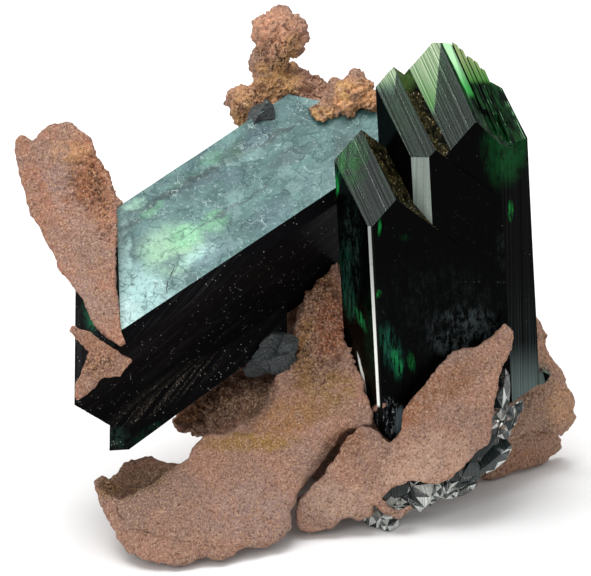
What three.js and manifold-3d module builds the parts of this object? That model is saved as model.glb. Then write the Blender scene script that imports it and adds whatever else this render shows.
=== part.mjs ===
// A vivianite specimen: dark green crystals with flat faces, held by curved plates and knobs of
// brown iron crust. Millimetres, +Z up, standing on its lowest points of crust.
//
// Shapes are drawn on a sight sheet: what an observer sees from the front, looking down at
// SIGHT_PITCH. A sheet place is [across, down, toward]: across and down in sheet units from the
// sheet's upper left corner, toward in millimetres to the observer. Everything is then turned into
// the part's own frame, with +X right, +Y away from the front and +Z up.
import * as THREE from 'three';
import { ConvexGeometry } from 'three/addons/geometries/ConvexGeometry.js';
import { ImprovedNoise } from 'three/addons/math/ImprovedNoise.js';
import { mergeVertices } from 'three/addons/utils/BufferGeometryUtils.js';
import Module from 'manifold-3d';

const wasm = await Module();
wasm.setup();

// The sight sheet
const SIGHT_PITCH = THREE.MathUtils.degToRad(25);
const SIGHT_TURN = Math.PI / 2 - SIGHT_PITCH; // turns the sheet into the part's own frame
const SHEET_UNIT = 0.15;
const SHEET_MIDDLE = 300; // across, at X = 0
const SHEET_FLOOR = 564; // down, at the point of the floor where toward = 0

// Blocks that only cut
const BLOCK = 200; // holds any crystal
const FAR = 600; // longer than the specimen

// Crust
const PLATE_THICKNESS = 2.0;
const THICKNESS_SWING = 0.5; // how much the thickness varies, as a share of it
const PLATE_CELL = 4; // spacing of the points that bend a plate
const PLATE_ROUGHNESS = 0.35;
const EDGE_STEP = 2.6; // spacing of the nicks along a broken edge
const EDGE_NICK = 0.32;
const LUMP_DETAIL = 1; // how often the faces of a lump or small knob are split
const KNOB_DETAIL = 2; // the same for a large knob
const LARGE_KNOB = 3.1; // its least radius
const LUMP_SWELL = 0.24; // how far the waves of a lump stand out, as a share of its radius
const KNOB_SWELL = 0.3; // the same for a knob
const FINE_SHARE = 0.6; // size of the fine waves beside the broad ones
const SEAT_GAP = 0.3; // left between a crystal and the crust that holds it

// Waves of the crust per millimetre, and the slice of the noise that each surface takes
const WAVES = { face: 0.45, thickness: 0.2, edge: 1.7, broad: 0.31, fine: 0.8 };
const SLICES = { front: 0.5, back: 4.5, thickness: 7.7, edge: 3.1 };

// Shape of a small crystal: heights as shares of its length, and its width and depth there as
// shares of the full ones
const SHARD = {
  root: 0.3, rootWidth: 0.8, shoulder: 0.55, wedge: 0.9, wedgeWidth: 0.9, wedgeDepth: 0.1, tipWidth: 0.5,
};

// Tall crystals. They stand side by side on one plan: STEP_ALONG runs along their common front
// face and STEP_BACK along their ridges, which fall toward the front.
const FRONT_CORNER = new THREE.Vector2(10.2, 17.2);
const STEP_ALONG = new THREE.Vector2(0.9375, 0.348);
const STEP_BACK = new THREE.Vector2(-0.475, 0.88);
const RIDGE_FALL = 0.72;
const ROOF_PITCH = 0.95; // fall of the two roof faces, along the front
const LEAN = 0.05; // leftward lean of the upright edges
const LEAN_LEVEL = 50; // height at which the plan is true
const TALL_BACK = 12.4; // front face to back face, along the ridges

// Finishes
const CRUST = { color: 0x9a6a55, roughness: 0.95, metalness: 0 };
const DARK_CRYSTAL = { color: 0x0c1a14, roughness: 0.12, metalness: 0 };
const PEARLY_CRYSTAL = { color: 0x5f8d80, roughness: 0.25, metalness: 0 };
const GREY_CRYSTAL = { color: 0x3b4346, roughness: 0.3, metalness: 0 };
const CLEAR_CRYSTAL = { color: 0xa9b5b2, roughness: 0.1, metalness: 0 };

const noise = new ImprovedNoise();

// Solids

function solid(geometry) {
  const bare = geometry.clone();
  bare.deleteAttribute('normal');
  bare.deleteAttribute('uv');
  const merged = mergeVertices(bare, 1e-4);
  return new wasm.Manifold(new wasm.Mesh({
    numProp: 3,
    vertProperties: new Float32Array(merged.getAttribute('position').array),
    triVerts: new Uint32Array(merged.index.array),
  }));
}

function joined(solids) {
  return solids.reduce((whole, piece) => whole.add(piece));
}

function meshOf(name, body, finish) {
  const data = body.getMesh();
  const geometry = new THREE.BufferGeometry();
  geometry.setAttribute('position', new THREE.BufferAttribute(new Float32Array(data.vertProperties), 3));
  geometry.setIndex(new THREE.BufferAttribute(new Uint32Array(data.triVerts), 1));
  geometry.computeVertexNormals();
  const mesh = new THREE.Mesh(geometry, new THREE.MeshStandardMaterial(finish));
  mesh.name = name;
  return mesh;
}

// A block that fills everything beyond a plane.
function beyond(point, outward) {
  const turn = new THREE.Quaternion().setFromUnitVectors(new THREE.Vector3(0, 0, 1), outward);
  const block = new THREE.BoxGeometry(FAR, FAR, FAR).translate(0, 0, FAR / 2);
  return solid(block.applyQuaternion(turn).translate(point.x, point.y, point.z));
}

const FLOOR_BLOCK = beyond(new THREE.Vector3(), new THREE.Vector3(0, 0, -1));

// A convex crystal inside a list of faces, each a point on it and its outward direction.
// grow moves every face outwards, for the seat that the crust leaves around the crystal.
function crystal(faces, grow = 0) {
  let body = solid(new THREE.BoxGeometry(BLOCK, BLOCK, BLOCK));
  for (const { at, out } of faces) {
    const outward = out.clone().normalize();
    body = body.subtract(beyond(at.clone().addScaledVector(outward, grow), outward));
  }
  return body;
}

// Places on the sight sheet

function onSheet([across, down]) {
  return [(across - SHEET_MIDDLE) * SHEET_UNIT, (SHEET_FLOOR - down) * SHEET_UNIT];
}

function seen(across, down, toward) {
  const [right, up] = onSheet([across, down]);
  return new THREE.Vector3(right, up, toward).applyAxisAngle(new THREE.Vector3(1, 0, 0), SIGHT_TURN);
}

// A face through three points, with its outside away from an inner point.
function faceThrough(a, b, c, inner) {
  const out = b.clone().sub(a).cross(c.clone().sub(a)).normalize();
  if (out.dot(inner.clone().sub(a)) > 0) out.negate();
  return { at: a, out };
}

// Plates of crust

// The smoothest surface through a few points [x, y, value]: a thin-plate spline.
function bentThrough(points) {
  const kernel = (dx, dy) => {
    const squared = dx * dx + dy * dy;
    return squared > 1e-9 ? squared * Math.log(squared) : 0;
  };
  const count = points.length;
  const size = count + 3;
  const rows = Array.from({ length: size }, () => new Array(size + 1).fill(0));
  points.forEach(([x, y, value], i) => {
    points.forEach(([px, py], j) => { rows[i][j] = kernel(x - px, y - py); });
    [1, x, y].forEach((term, k) => {
      rows[i][count + k] = term;
      rows[count + k][i] = term;
    });
    rows[i][size] = value;
  });
  for (let column = 0; column < size; column++) {
    let pivot = column;
    for (let i = column + 1; i < size; i++) {
      if (Math.abs(rows[i][column]) > Math.abs(rows[pivot][column])) pivot = i;
    }
    [rows[column], rows[pivot]] = [rows[pivot], rows[column]];
    for (let i = 0; i < size; i++) {
      if (i === column) continue;
      const share = rows[i][column] / rows[column][column];
      for (let j = column; j <= size; j++) rows[i][j] -= share * rows[column][j];
    }
  }
  const weights = rows.map((row, i) => row[size] / row[i]);
  return (x, y) => points.reduce(
    (sum, [px, py], i) => sum + weights[i] * kernel(x - px, y - py),
    weights[count] + weights[count + 1] * x + weights[count + 2] * y);
}

// A broken edge: the outline with a nick every EDGE_STEP.
function broken(outline, edgeNick) {
  const nicked = [];
  outline.forEach(([x, y], i) => {
    const [nextX, nextY] = outline[(i + 1) % outline.length];
    const length = Math.hypot(nextX - x, nextY - y);
    const steps = Math.max(1, Math.round(length / EDGE_STEP));
    for (let k = 0; k < steps; k++) {
      const px = x + (nextX - x) * k / steps;
      const py = y + (nextY - y) * k / steps;
      const nick = edgeNick * noise.noise(px * WAVES.edge, py * WAVES.edge, SLICES.edge) * (k ? 2 : 1);
      nicked.push([px + nick * (nextY - y) / length, py - nick * (nextX - x) / length]);
    }
  });
  return nicked;
}

// A plate: what lies inside the outline, from the bent face to the thickness behind it.
// outline is [across, down] around the plate, bend is [across, down, toward] on its face.
function plate({ outline, bend, thickness = PLATE_THICKNESS, rough = PLATE_ROUGHNESS, nick = EDGE_NICK }) {
  const edge = broken(outline.map(onSheet), nick);
  const face = bentThrough(bend.map(([across, down, toward]) => [...onSheet([across, down]), toward]));
  const column = new THREE.ExtrudeGeometry(
    new THREE.Shape(edge.map(([x, y]) => new THREE.Vector2(x, y))),
    { depth: FAR, bevelEnabled: false }).translate(0, 0, -FAR / 2);
  const left = Math.min(...edge.map(([x]) => x)) - 1;
  const right = Math.max(...edge.map(([x]) => x)) + 1;
  const low = Math.min(...edge.map(([, y]) => y)) - 1;
  const high = Math.max(...edge.map(([, y]) => y)) + 1;
  const slab = new THREE.BoxGeometry(right - left, high - low, 1,
    Math.ceil((right - left) / PLATE_CELL), Math.ceil((high - low) / PLATE_CELL), 1);
  slab.translate((left + right) / 2, (low + high) / 2, 0);
  const places = slab.getAttribute('position');
  for (let i = 0; i < places.count; i++) {
    const x = places.getX(i);
    const y = places.getY(i);
    const behind = places.getZ(i) < 0;
    const bump = rough * noise.noise(x * WAVES.face, y * WAVES.face, behind ? SLICES.back : SLICES.front);
    const swing = THICKNESS_SWING * noise.noise(x * WAVES.thickness, y * WAVES.thickness, SLICES.thickness);
    places.setZ(i, face(x, y) + bump - (behind ? thickness * (1 + swing) : 0));
  }
  return solid(column.rotateX(SIGHT_TURN)).intersect(solid(slab.rotateX(SIGHT_TURN)));
}

// A knobbly lump of crust around a point of the part's own frame, with a radius each way.
function lump(centre, radii, detail = LUMP_DETAIL, swell = LUMP_SWELL) {
  const ball = new THREE.IcosahedronGeometry(1, detail);
  const places = ball.getAttribute('position');
  const way = new THREE.Vector3();
  for (let i = 0; i < places.count; i++) {
    way.fromBufferAttribute(places, i).normalize();
    const x = centre.x + way.x * radii[0];
    const y = centre.y + way.y * radii[1];
    const z = centre.z + way.z * radii[2];
    const broad = noise.noise(x * WAVES.broad, y * WAVES.broad, z * WAVES.broad);
    const fine = noise.noise(x * WAVES.fine, y * WAVES.fine, z * WAVES.fine);
    const reach = 1 + swell * (broad + FINE_SHARE * fine);
    places.setXYZ(i, centre.x + way.x * radii[0] * reach,
      centre.y + way.y * radii[1] * reach, centre.z + way.z * radii[2] * reach);
  }
  return solid(ball);
}

// Small crystals

// A small crystal with a wedge at its tip, from a place on the sheet. turn is its direction on the
// sheet, lift its rise toward the observer, both in degrees.
function shard([across, down, toward, turn, lift, length, width, depth], grow = 0) {
  const corners = [];
  for (const side of [-1, 1]) {
    const x = side * (width / 2 + grow);
    for (const half of [-1, 1]) {
      const y = half * (depth / 2 + grow);
      corners.push(
        new THREE.Vector3(x * SHARD.rootWidth, y * SHARD.rootWidth, -length * SHARD.root - grow),
        new THREE.Vector3(x, y, 0),
        new THREE.Vector3(x, y, length * SHARD.shoulder),
        new THREE.Vector3(x * SHARD.wedgeWidth, y * SHARD.wedgeDepth, length * SHARD.wedge));
    }
    corners.push(new THREE.Vector3(x * SHARD.tipWidth, 0, length + grow));
  }
  const shape = new ConvexGeometry(corners).rotateY(Math.PI / 2);
  shape.rotateX(turn + lift).rotateY(-THREE.MathUtils.degToRad(lift));
  shape.rotateZ(THREE.MathUtils.degToRad(turn));
  const [right, up] = onSheet([across, down]);
  return solid(shape.translate(right, up, toward).rotateX(SIGHT_TURN));
}

// Dark grey crystals in a knot between the long crystal and the pillar.
const KNOT = [
  [250, 366, -13.4, 18, 8, 3.4, 2.6, 2.6],
  [262, 356, -13.2, -38, 8, 3.2, 3.0, 2.6],
  [276, 363, -12.4, 14, 10, 3.2, 3.0, 2.4],
  [285, 352, -12.2, 66, 8, 2.8, 2.6, 2.4],
  [268, 346, -13.6, 36, 5, 3.2, 2.8, 2.6],
];

function knotCrystals(grow = 0) {
  return joined(KNOT.map((place) => shard(place, grow))).subtract(longCrystal(grow ? 0 : SEAT_GAP));
}

// Tall crystals

function planPoint(along, back, height) {
  return new THREE.Vector3(
    FRONT_CORNER.x + STEP_ALONG.x * along + STEP_BACK.x * back - LEAN * (height - LEAN_LEVEL),
    FRONT_CORNER.y + STEP_ALONG.y * along + STEP_BACK.y * back,
    height);
}

// A sloping face through a plan point, with its slopes along the front and along the ridges.
function slopingFace(along, back, height, slopeAlong, slopeBack, upward = true) {
  const at = planPoint(along, back, height);
  const stepAlong = planPoint(along + 1, back, height + slopeAlong).sub(at);
  const stepBack = planPoint(along, back + 1, height + slopeBack).sub(at);
  const out = stepAlong.cross(stepBack);
  if (out.z > 0 !== upward) out.negate();
  return { at, out };
}

// An upright face between two plan points [along, back], with its outside on the right of the way.
function uprightFace([alongA, backA], [alongB, backB]) {
  const at = planPoint(alongA, backA, LEAN_LEVEL);
  const way = planPoint(alongB, backB, LEAN_LEVEL).sub(at);
  const rise = planPoint(alongA, backA, LEAN_LEVEL + 1).sub(at);
  return { at, out: way.cross(rise) };
}

function tallCrystal(corners, faces, grow) {
  const sides = corners.map((corner, i) => uprightFace(corner, corners[(i + 1) % corners.length]));
  return crystal([...sides, ...faces], grow);
}

// Foot of a tall crystal: its roof upside down.
function foot(keel, height) {
  return [
    slopingFace(keel, 0, height, ROOF_PITCH, RIDGE_FALL, false),
    slopingFace(keel, 0, height, -ROOF_PITCH, RIDGE_FALL, false),
  ];
}

// Broken shoulder of the right crystal: where its slope begins, and how it falls along the front
// and rises to the back.
const SHOULDER = { along: 20.8, height: 58.2, slope: -1.2, slopeBack: 0.88 };

// Thin broken steps on the shoulder: place and width along the front, how far they stand out of
// the shoulder, and where they begin behind the front face.
const STEP_SLOPE = -0.5;
const STEP_DEPTH = 12;
const STEPS = [
  { along: 20.6, width: 0.7, stand: 0.7, from: 3.5 },
  { along: 21.7, width: 0.5, stand: 0.9, from: 1.6 },
  { along: 22.8, width: 0.8, stand: 0.8, from: 4.6 },
  { along: 23.9, width: 0.5, stand: 1.2, from: 2.4 },
  { along: 24.9, width: 0.6, stand: 1.0, from: 5.2 },
];

// Small crystal on the right edge: across, down, toward, turn, lift, length, width, depth.
const EDGE_CRYSTAL = [536, 378, -21.6, 16, 0, 2.4, 2.2, 1.8];

function shoulderStep({ along, width, stand, from }, grow) {
  const height = SHOULDER.height + stand + SHOULDER.slope * (along - SHOULDER.along);
  return tallCrystal(
    [[along, from], [along + width, from + 0.3], [along + width, TALL_BACK - 0.4], [along, TALL_BACK - 0.2]],
    [
      slopingFace(along, 0, height, STEP_SLOPE, SHOULDER.slopeBack),
      slopingFace(along, 0, height - STEP_DEPTH, 0, 0, false),
    ], grow);
}

function tallCrystals(grow = 0) {
  const left = tallCrystal(
    [[0.6, 0], [15, 0], [15, 10.2], [0, 10.2], [0, 0.5]],
    [
      slopingFace(4.5, 0, 51.5, ROOF_PITCH, RIDGE_FALL),
      slopingFace(4.5, 0, 51.5, -ROOF_PITCH, RIDGE_FALL),
      ...foot(1.7, 12),
    ], grow);
  const middle = tallCrystal(
    [[10.1, 0.2], [20, 0.2], [20, TALL_BACK], [8.2, TALL_BACK], [8.2, 2.1]],
    [
      slopingFace(11.2, 0, 58.3, ROOF_PITCH, RIDGE_FALL),
      slopingFace(11.2, 0, 58.3, -ROOF_PITCH, RIDGE_FALL),
      ...foot(12, 11),
    ], grow);
  const right = tallCrystal(
    [[12, 0.45], [21.5, 0.45], [27.9, 4.3], [27.9, 11.6], [25, TALL_BACK], [12, TALL_BACK]],
    [
      slopingFace(17.3, 0, 61, ROOF_PITCH, RIDGE_FALL),
      slopingFace(17.6, 4, 64.3, -0.2, 0.7),
      slopingFace(SHOULDER.along, 0, SHOULDER.height, SHOULDER.slope, SHOULDER.slopeBack),
      slopingFace(21.5, 0.45, 15, 0.08, 0, false),
    ], grow);
  const outer = tallCrystal(
    [[23.6, 1.9], [27.9, 4.3], [27.9, 11.6], [25, TALL_BACK], [23.6, TALL_BACK]],
    [
      slopingFace(26.2, 0, 53.9, -0.5, RIDGE_FALL),
      slopingFace(26.2, 0, 30, 0, 0, false),
    ], grow);
  const steps = STEPS.map((step) => shoulderStep(step, grow));
  return joined([left, middle, right, outer, ...steps, shard(EDGE_CRYSTAL, grow)]);
}

// Long crystal. It lies across the left with a broad pearly face on top, and a thin blade along its
// lower edge. A corner's name tells where it is on the near end; ALONG is its long direction.

const ALONG = new THREE.Vector3(0.78, 0.52, -0.345).applyAxisAngle(new THREE.Vector3(1, 0, 0), SIGHT_TURN);

function farther(corner, distance) {
  return corner.clone().addScaledVector(ALONG, distance);
}

function longCrystal(grow = 0) {
  const pearlBack = seen(117, 208, -5.7);
  const pearlFront = seen(122, 330, 8.0);
  const underBevel = seen(128, 343, 7.6);
  const chin = seen(76, 404, 6.0);
  const keel = seen(115, 428, -6.2);
  const root = seen(103, 372, -17);
  const heel = seen(76, 275, -7.6);
  const farEnd = [seen(292, 99, -17.3), seen(430, 121, -12.3), seen(327, 237, -26)];
  const inside = seen(230, 250, -7);
  const main = crystal([
    faceThrough(pearlBack, pearlFront, farther(pearlFront, 50), inside),
    faceThrough(seen(121, 334, 8.1), underBevel, farther(underBevel, 50), inside),
    faceThrough(underBevel, chin, farther(chin, 50), inside),
    faceThrough(keel, root, farther(keel, 50), inside),
    faceThrough(root, heel, farther(heel, 50), inside),
    faceThrough(heel, pearlBack, farther(heel, 50), inside),
    faceThrough(pearlBack, pearlFront, chin, inside),
    faceThrough(chin, keel, seen(80, 400, -12), inside),
    faceThrough(chin, heel, seen(76, 404, -12), inside),
    faceThrough(...farEnd, inside),
  ], grow);
  const inBlade = seen(150, 415, -7);
  const blade = crystal([
    faceThrough(seen(110, 424, -4.9), seen(116, 450, -4.6), seen(245, 360, -12.4), inBlade),
    faceThrough(seen(130, 449, -4.4), seen(245, 365, -12.2), seen(130, 447, -10), inBlade),
    faceThrough(seen(114, 450, -4.4), seen(132, 449, -4.4), seen(132, 449, -9), inBlade),
    faceThrough(seen(110, 424, -4.4), seen(110, 447, -4.4), seen(113, 447, -9), inBlade),
    faceThrough(seen(110, 424, -9.5), seen(116, 450, -9.5), seen(245, 360, -17.3), inBlade),
    faceThrough(seen(112, 405, -5), seen(245, 320, -15), seen(112, 405, -10), inBlade),
    faceThrough(seen(287, 300, -5), seen(287, 400, -5), seen(287, 400, -10), inBlade),
  ], grow);
  return joined([main, blade, ...GREY_PATCH.map((place) => shard(place, grow))]);
}

// Small grey crystals on the far edge of the pearly face.
const GREY_PATCH = [
  [256, 121, -15.4, 62, 14, 2.8, 2.6, 2],
  [268, 116, -15.2, 96, 14, 2.6, 2.4, 2],
];

// Crust

// Front left shell: a bowl-like plate with its lower edge on the floor, and the inside of its far
// wall in view behind the rim.
const SHELL = {
  outline: [
    [95, 483], [120, 500], [150, 487], [165, 473], [184, 462], [190, 456], [192, 447], [200, 442],
    [206, 434], [222, 435], [252, 433], [300, 425], [350, 410], [350, 422], [340, 430], [332, 437],
    [320, 457], [310, 470], [300, 488], [290, 512], [292, 527], [280, 539], [258, 548], [247, 545],
    [225, 558], [215, 560], [208, 553], [188, 563], [178, 565], [150, 559], [130, 552], [122, 541],
    [117, 530], [110, 519], [100, 498],
  ],
  bend: [
    [178, 565, 1.9], [122, 541, 0.8], [110, 519, -1.2], [97, 488, -4], [130, 523, 1.5], [155, 535, 2.2],
    [120, 500, -0.2], [180, 464, -2.6], [206, 434, -5.2], [245, 433, -6.2], [240, 549, -0.6],
    [290, 525, -4.2], [310, 470, -5.6], [345, 425, -7.6],
  ],
};

const SHELL_FAR_WALL = {
  outline: [
    [95, 483], [97, 479], [103, 476], [110, 480], [116, 475], [121, 468], [130, 461], [148, 455],
    [165, 462], [176, 465], [184, 462], [192, 458], [200, 480], [175, 520], [140, 530], [108, 512],
  ],
  bend: [
    [95, 485, -4.4], [105, 505, -2.8], [148, 455, -11], [184, 462, -11], [150, 487, -10],
    [140, 525, -3], [190, 500, -7],
  ],
  thickness: 1.6,
};

// The core: a pillar that rises from the shell between the crystals.
const PILLAR = {
  outline: [
    [338, 262], [325, 275], [307, 291], [301, 308], [298, 320], [290, 343], [285, 362], [275, 380],
    [265, 405], [255, 415], [240, 425], [222, 436], [240, 480], [300, 490], [345, 430], [372, 425],
    [372, 340], [360, 290],
  ],
  bend: [
    [338, 262, -15], [310, 300, -13.8], [290, 343, -13], [340, 340, -11.5], [265, 405, -9.4],
    [350, 400, -9.2], [235, 436, -6.4], [340, 430, -8.2], [280, 480, -6.5], [305, 370, -10.6],
  ],
  thickness: 12,
  rough: 0.9,
  nick: 0,
};

const HIDDEN_LEDGE = {
  outline: [
    [172, 421], [178, 431], [190, 431], [205, 437], [240, 440], [290, 420], [290, 370], [262, 352],
    [238, 362], [215, 385], [190, 402],
  ],
  bend: [
    [172, 424, -18], [205, 434, -17], [240, 372, -21], [262, 360, -21], [240, 436, -13], [285, 400, -17],
  ],
  thickness: 6,
  rough: 0.9,
  nick: 0,
};

// Lumps under, behind and above the crystals: centre [x, y, z] and radii.
const BASE_LUMPS = [
  [[15, 31, 6.5], [13, 9, 7.5]],
  [[26, 35.5, 6.5], [5.6, 6.4, 7]],
  [[3, 36, 7], [11, 12, 9]],
  [[6, 27, 11.5], [7, 6, 6]],
  [[-2, 16, 12.2], [3, 3, 3]],
  [[-6, 26, 11], [9, 8, 7]],
  [[3, 47, 8], [12, 9, 10]],
  [[14, 42, 9], [8, 7, 9]],
  [[-8, 42, 10], [6, 7, 8]],
  [[2, 51, 22], [9, 7, 10]],
  [[10, 48, 26], [7, 6, 9]],
  [[-6, 49, 28], [6, 6, 9]],
  [[1, 52, 35], [8, 6, 9]],
  [[-3, 51, 41], [7, 5.5, 8]],
  [[6, 50, 43], [6, 5, 8]],
  [[-1, 52, 50], [7, 5.5, 8]],
  [[-4.5, 50.5, 51], [4.5, 4.5, 6]],
];

// Knobs over the far end of the long crystal: place on the sheet and radius.
const KNOBS = [
  [[279, 38, -18.5], 4.2],
  [[268, 66, -19.5], 3.0],
  [[278, 86, -21], 4.0],
  [[248, 104, -20.5], 3.1],
  [[268, 111, -21.6], 3.05],
  [[306, 90, -19.5], 3.1],
  [[294, 106, -21], 3.0],
  [[311, 116, -16.8], 2.2],
  [[322, 116, -14.9], 2.6],
  [[336, 103, -16], 2.5],
  [[342, 92, -15.6], 1.9],
  [[358, 88, -15.6], 2.3],
  [[350, 106, -15.4], 2.6],
  [[368, 104, -15.2], 2.1],
];

function crustCore() {
  const knobs = KNOBS.map(([place, radius]) => lump(
    seen(...place), [radius, radius, radius], radius < LARGE_KNOB ? LUMP_DETAIL : KNOB_DETAIL, KNOB_SWELL));
  const lumps = BASE_LUMPS.map(([centre, radii]) => lump(new THREE.Vector3(...centre), radii));
  const plates = [SHELL, SHELL_FAR_WALL, PILLAR, HIDDEN_LEDGE].map(plate);
  return joined([...plates, ...lumps, ...knobs])
    .subtract(tallCrystals(SEAT_GAP)).subtract(longCrystal(SEAT_GAP)).subtract(knotCrystals(SEAT_GAP))
    .subtract(FLOOR_BLOCK);
}

const FRONT_PLATE = {
  outline: [
    [296, 513], [300, 500], [308, 492], [315, 482], [322, 477], [329, 468], [337, 457], [341, 448],
    [346, 440], [352, 434], [360, 427], [368, 427], [380, 434], [389, 444], [401, 430], [403, 410],
    [413, 396], [420, 388], [430, 377], [440, 365], [448, 356], [462, 348], [473, 349], [487, 341],
    [493, 336], [498, 328], [504, 322], [512, 331], [511, 350], [503, 365], [499, 372], [498, 385],
    [494, 395], [492, 420], [489, 440], [478, 448], [460, 470], [452, 476], [434, 484], [410, 479],
    [400, 484], [390, 489], [381, 498], [388, 506], [397, 511], [410, 504], [413, 508], [398, 519],
    [384, 512], [374, 504], [371, 515], [359, 521], [350, 517], [340, 520],
    [331, 527], [310, 531], [299, 529],
  ],
  bend: [
    [310, 531, -7.6], [300, 505, -6.4], [350, 436, -7.6], [371, 515, -8], [395, 440, -8.2],
    [434, 484, -8.2], [462, 350, -7], [504, 322, -7.2], [490, 440, -7.6], [420, 430, -6.9],
  ],
};

const RIGHT_PLATE = {
  outline: [
    [503, 408], [512, 394], [522, 376], [518, 350], [528, 310], [535, 310], [543, 325], [549, 335],
    [547, 345], [551, 355], [557, 363], [566, 375], [567, 379], [565, 384], [574, 395], [576, 402],
    [575, 410], [577, 421], [571, 429], [563, 437], [555, 434], [530, 433], [519, 437], [503, 446],
    [505, 428],
  ],
  bend: [
    [535, 312, -28], [566, 375, -26.6], [577, 421, -27.6], [520, 405, -23], [506, 442, -22.4],
    [555, 434, -27],
  ],
};

const RIGHT_LEDGE = {
  outline: [
    [482, 480], [500, 458], [514, 434], [530, 428], [556, 429], [563, 440], [563, 449], [551, 458],
    [550, 462], [540, 467], [522, 469], [505, 477], [497, 481],
  ],
  bend: [[484, 480, -25.4], [517, 432, -25.6], [558, 431, -30.6], [550, 462, -31], [505, 477, -26.6]],
  thickness: 2.6,
};

const TONGUE = {
  outline: [
    [20, 136], [16, 150], [19, 172], [25, 188], [27, 200], [40, 227], [49, 246], [60, 270],
    [66, 275], [77, 290], [92, 317], [98, 326], [110, 337], [122, 345], [128, 343], [122, 330],
    [119, 300], [117, 240], [117, 208], [124, 204], [120, 200], [113, 183], [107, 171], [99, 155],
    [90, 137], [82, 133], [71, 124], [53, 124], [42, 130], [37, 138], [33, 140], [23, 136],
  ],
  bend: [
    [124, 342, 10.6], [98, 320, 7.4], [117, 210, 0.6], [50, 246, -1.6], [18, 150, -6], [60, 126, -5],
    [95, 155, -2.4], [85, 240, 2.2],
  ],
};

const LEFT_END_CRUST = {
  outline: [
    [70, 330], [75, 325], [90, 332], [110, 346], [128, 356], [135, 361], [128, 368], [122, 374],
    [103, 378], [98, 385], [80, 400], [76, 398], [78, 385], [88, 362], [91, 352], [78, 338],
  ],
  bend: [[72, 328, 9.6], [90, 345, 9.2], [132, 362, 10.0], [110, 370, 8.6], [79, 396, 8.2]],
  thickness: 1.2,
};

// Small clear crystals under and beside the front plate.
const DRUSE = [
  [500, 408, -11.6, 86, 3, 6.0, 1.9, 2.0],
  [505, 430, -12.2, 68, 4, 4.2, 1.5, 1.6],
  [512, 420, -12.6, 62, 4, 3.4, 1.1, 1.4],
  [372, 515, -12, -14, 10, 3.2, 2.4, 2.4],
  [384, 520, -12, -50, 10, 2.4, 2.6, 2.2],
  [392, 504, -12.6, 8, 12, 3.2, 1.6, 2],
  [392, 492, -12.4, 24, 6, 4.0, 1.8, 2.2],
  [418, 500, -12.6, 60, 20, 3.6, 3.2, 2.6],
  [432, 494, -12.6, 78, 10, 2.8, 2.2, 2.4],
  [446, 492, -13.4, 84, 8, 3.0, 2.0, 2.4],
  [458, 488, -14, 30, 12, 3.2, 2.2, 2.2],
  [466, 478, -13.4, 60, 8, 4.4, 2.6, 2.4],
  [486, 460, -13.4, 40, 5, 4.4, 3.2, 2.4],
];

const DRUSE_BED = {
  outline: [
    [364, 512], [384, 521], [402, 508], [420, 508], [445, 496], [470, 484], [486, 466], [497, 448],
    [504, 424], [502, 395], [490, 398], [484, 430], [470, 450], [440, 470], [400, 470], [366, 492],
  ],
  bend: [[364, 512, -11.2], [470, 484, -12.4], [492, 448, -12.4], [400, 470, -11.2], [430, 500, -12]],
  thickness: 1.6,
};

function clearDruse() {
  return joined([plate(DRUSE_BED), ...DRUSE.map((place) => shard(place))]).subtract(FLOOR_BLOCK);
}

const meshes = [
  meshOf('tall_crystals', tallCrystals(), DARK_CRYSTAL),
  meshOf('long_crystal', longCrystal(), PEARLY_CRYSTAL),
  meshOf('knot_crystals', knotCrystals(), GREY_CRYSTAL),
  meshOf('clear_druse', clearDruse(), CLEAR_CRYSTAL),
  meshOf('crust_core', crustCore(), CRUST),
  meshOf('front_plate', plate(FRONT_PLATE).subtract(tallCrystals(SEAT_GAP)), CRUST),
  meshOf('right_plate', plate(RIGHT_PLATE).subtract(tallCrystals(SEAT_GAP)), CRUST),
  meshOf('right_ledge', plate(RIGHT_LEDGE).subtract(FLOOR_BLOCK), CRUST),
  meshOf('tongue_plate', plate(TONGUE).subtract(longCrystal(SEAT_GAP)), CRUST),
  meshOf('left_end_crust', plate(LEFT_END_CRUST).subtract(longCrystal(SEAT_GAP)), CRUST),
];

// The specimen stands over the middle of its own bounds.
const group = new THREE.Group().add(...meshes);
const bounds = new THREE.Box3().setFromObject(group);
const middle = bounds.getCenter(new THREE.Vector3());
for (const mesh of meshes) mesh.geometry.translate(-middle.x, -middle.y, -bounds.min.z);

export default group;
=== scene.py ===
# A vivianite specimen, dressed: dark green crystals with striated, pearly and dusty faces, held by
# plates and knobs of sandy iron crust. Metres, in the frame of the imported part.
import math
import random
import bpy
import bmesh
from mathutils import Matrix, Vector, noise


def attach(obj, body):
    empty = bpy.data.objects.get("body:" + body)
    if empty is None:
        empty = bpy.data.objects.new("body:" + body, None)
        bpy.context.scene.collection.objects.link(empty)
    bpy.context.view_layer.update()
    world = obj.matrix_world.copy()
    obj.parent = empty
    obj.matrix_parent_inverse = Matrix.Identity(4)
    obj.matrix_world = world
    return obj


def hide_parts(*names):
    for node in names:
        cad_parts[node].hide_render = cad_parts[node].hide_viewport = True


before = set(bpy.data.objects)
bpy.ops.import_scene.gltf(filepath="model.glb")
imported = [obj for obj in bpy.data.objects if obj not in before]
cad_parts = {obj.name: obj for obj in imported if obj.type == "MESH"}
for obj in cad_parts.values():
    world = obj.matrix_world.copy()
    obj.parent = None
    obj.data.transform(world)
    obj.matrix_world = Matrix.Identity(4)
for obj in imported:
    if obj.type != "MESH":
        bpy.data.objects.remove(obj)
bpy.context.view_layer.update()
MM = 0.001

# The sight sheet of the part: across and down in sheet units from its upper left corner, toward in
# millimetres to the observer. It places the camera, the patches of colour and the dents.
SIGHT_PITCH = math.radians(25)
SHEET_UNIT = 0.15
SHEET_MIDDLE = 300
SHEET_FLOOR = 564
CENTRING = Vector((0.5215, -28.4779, 0.0))

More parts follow.
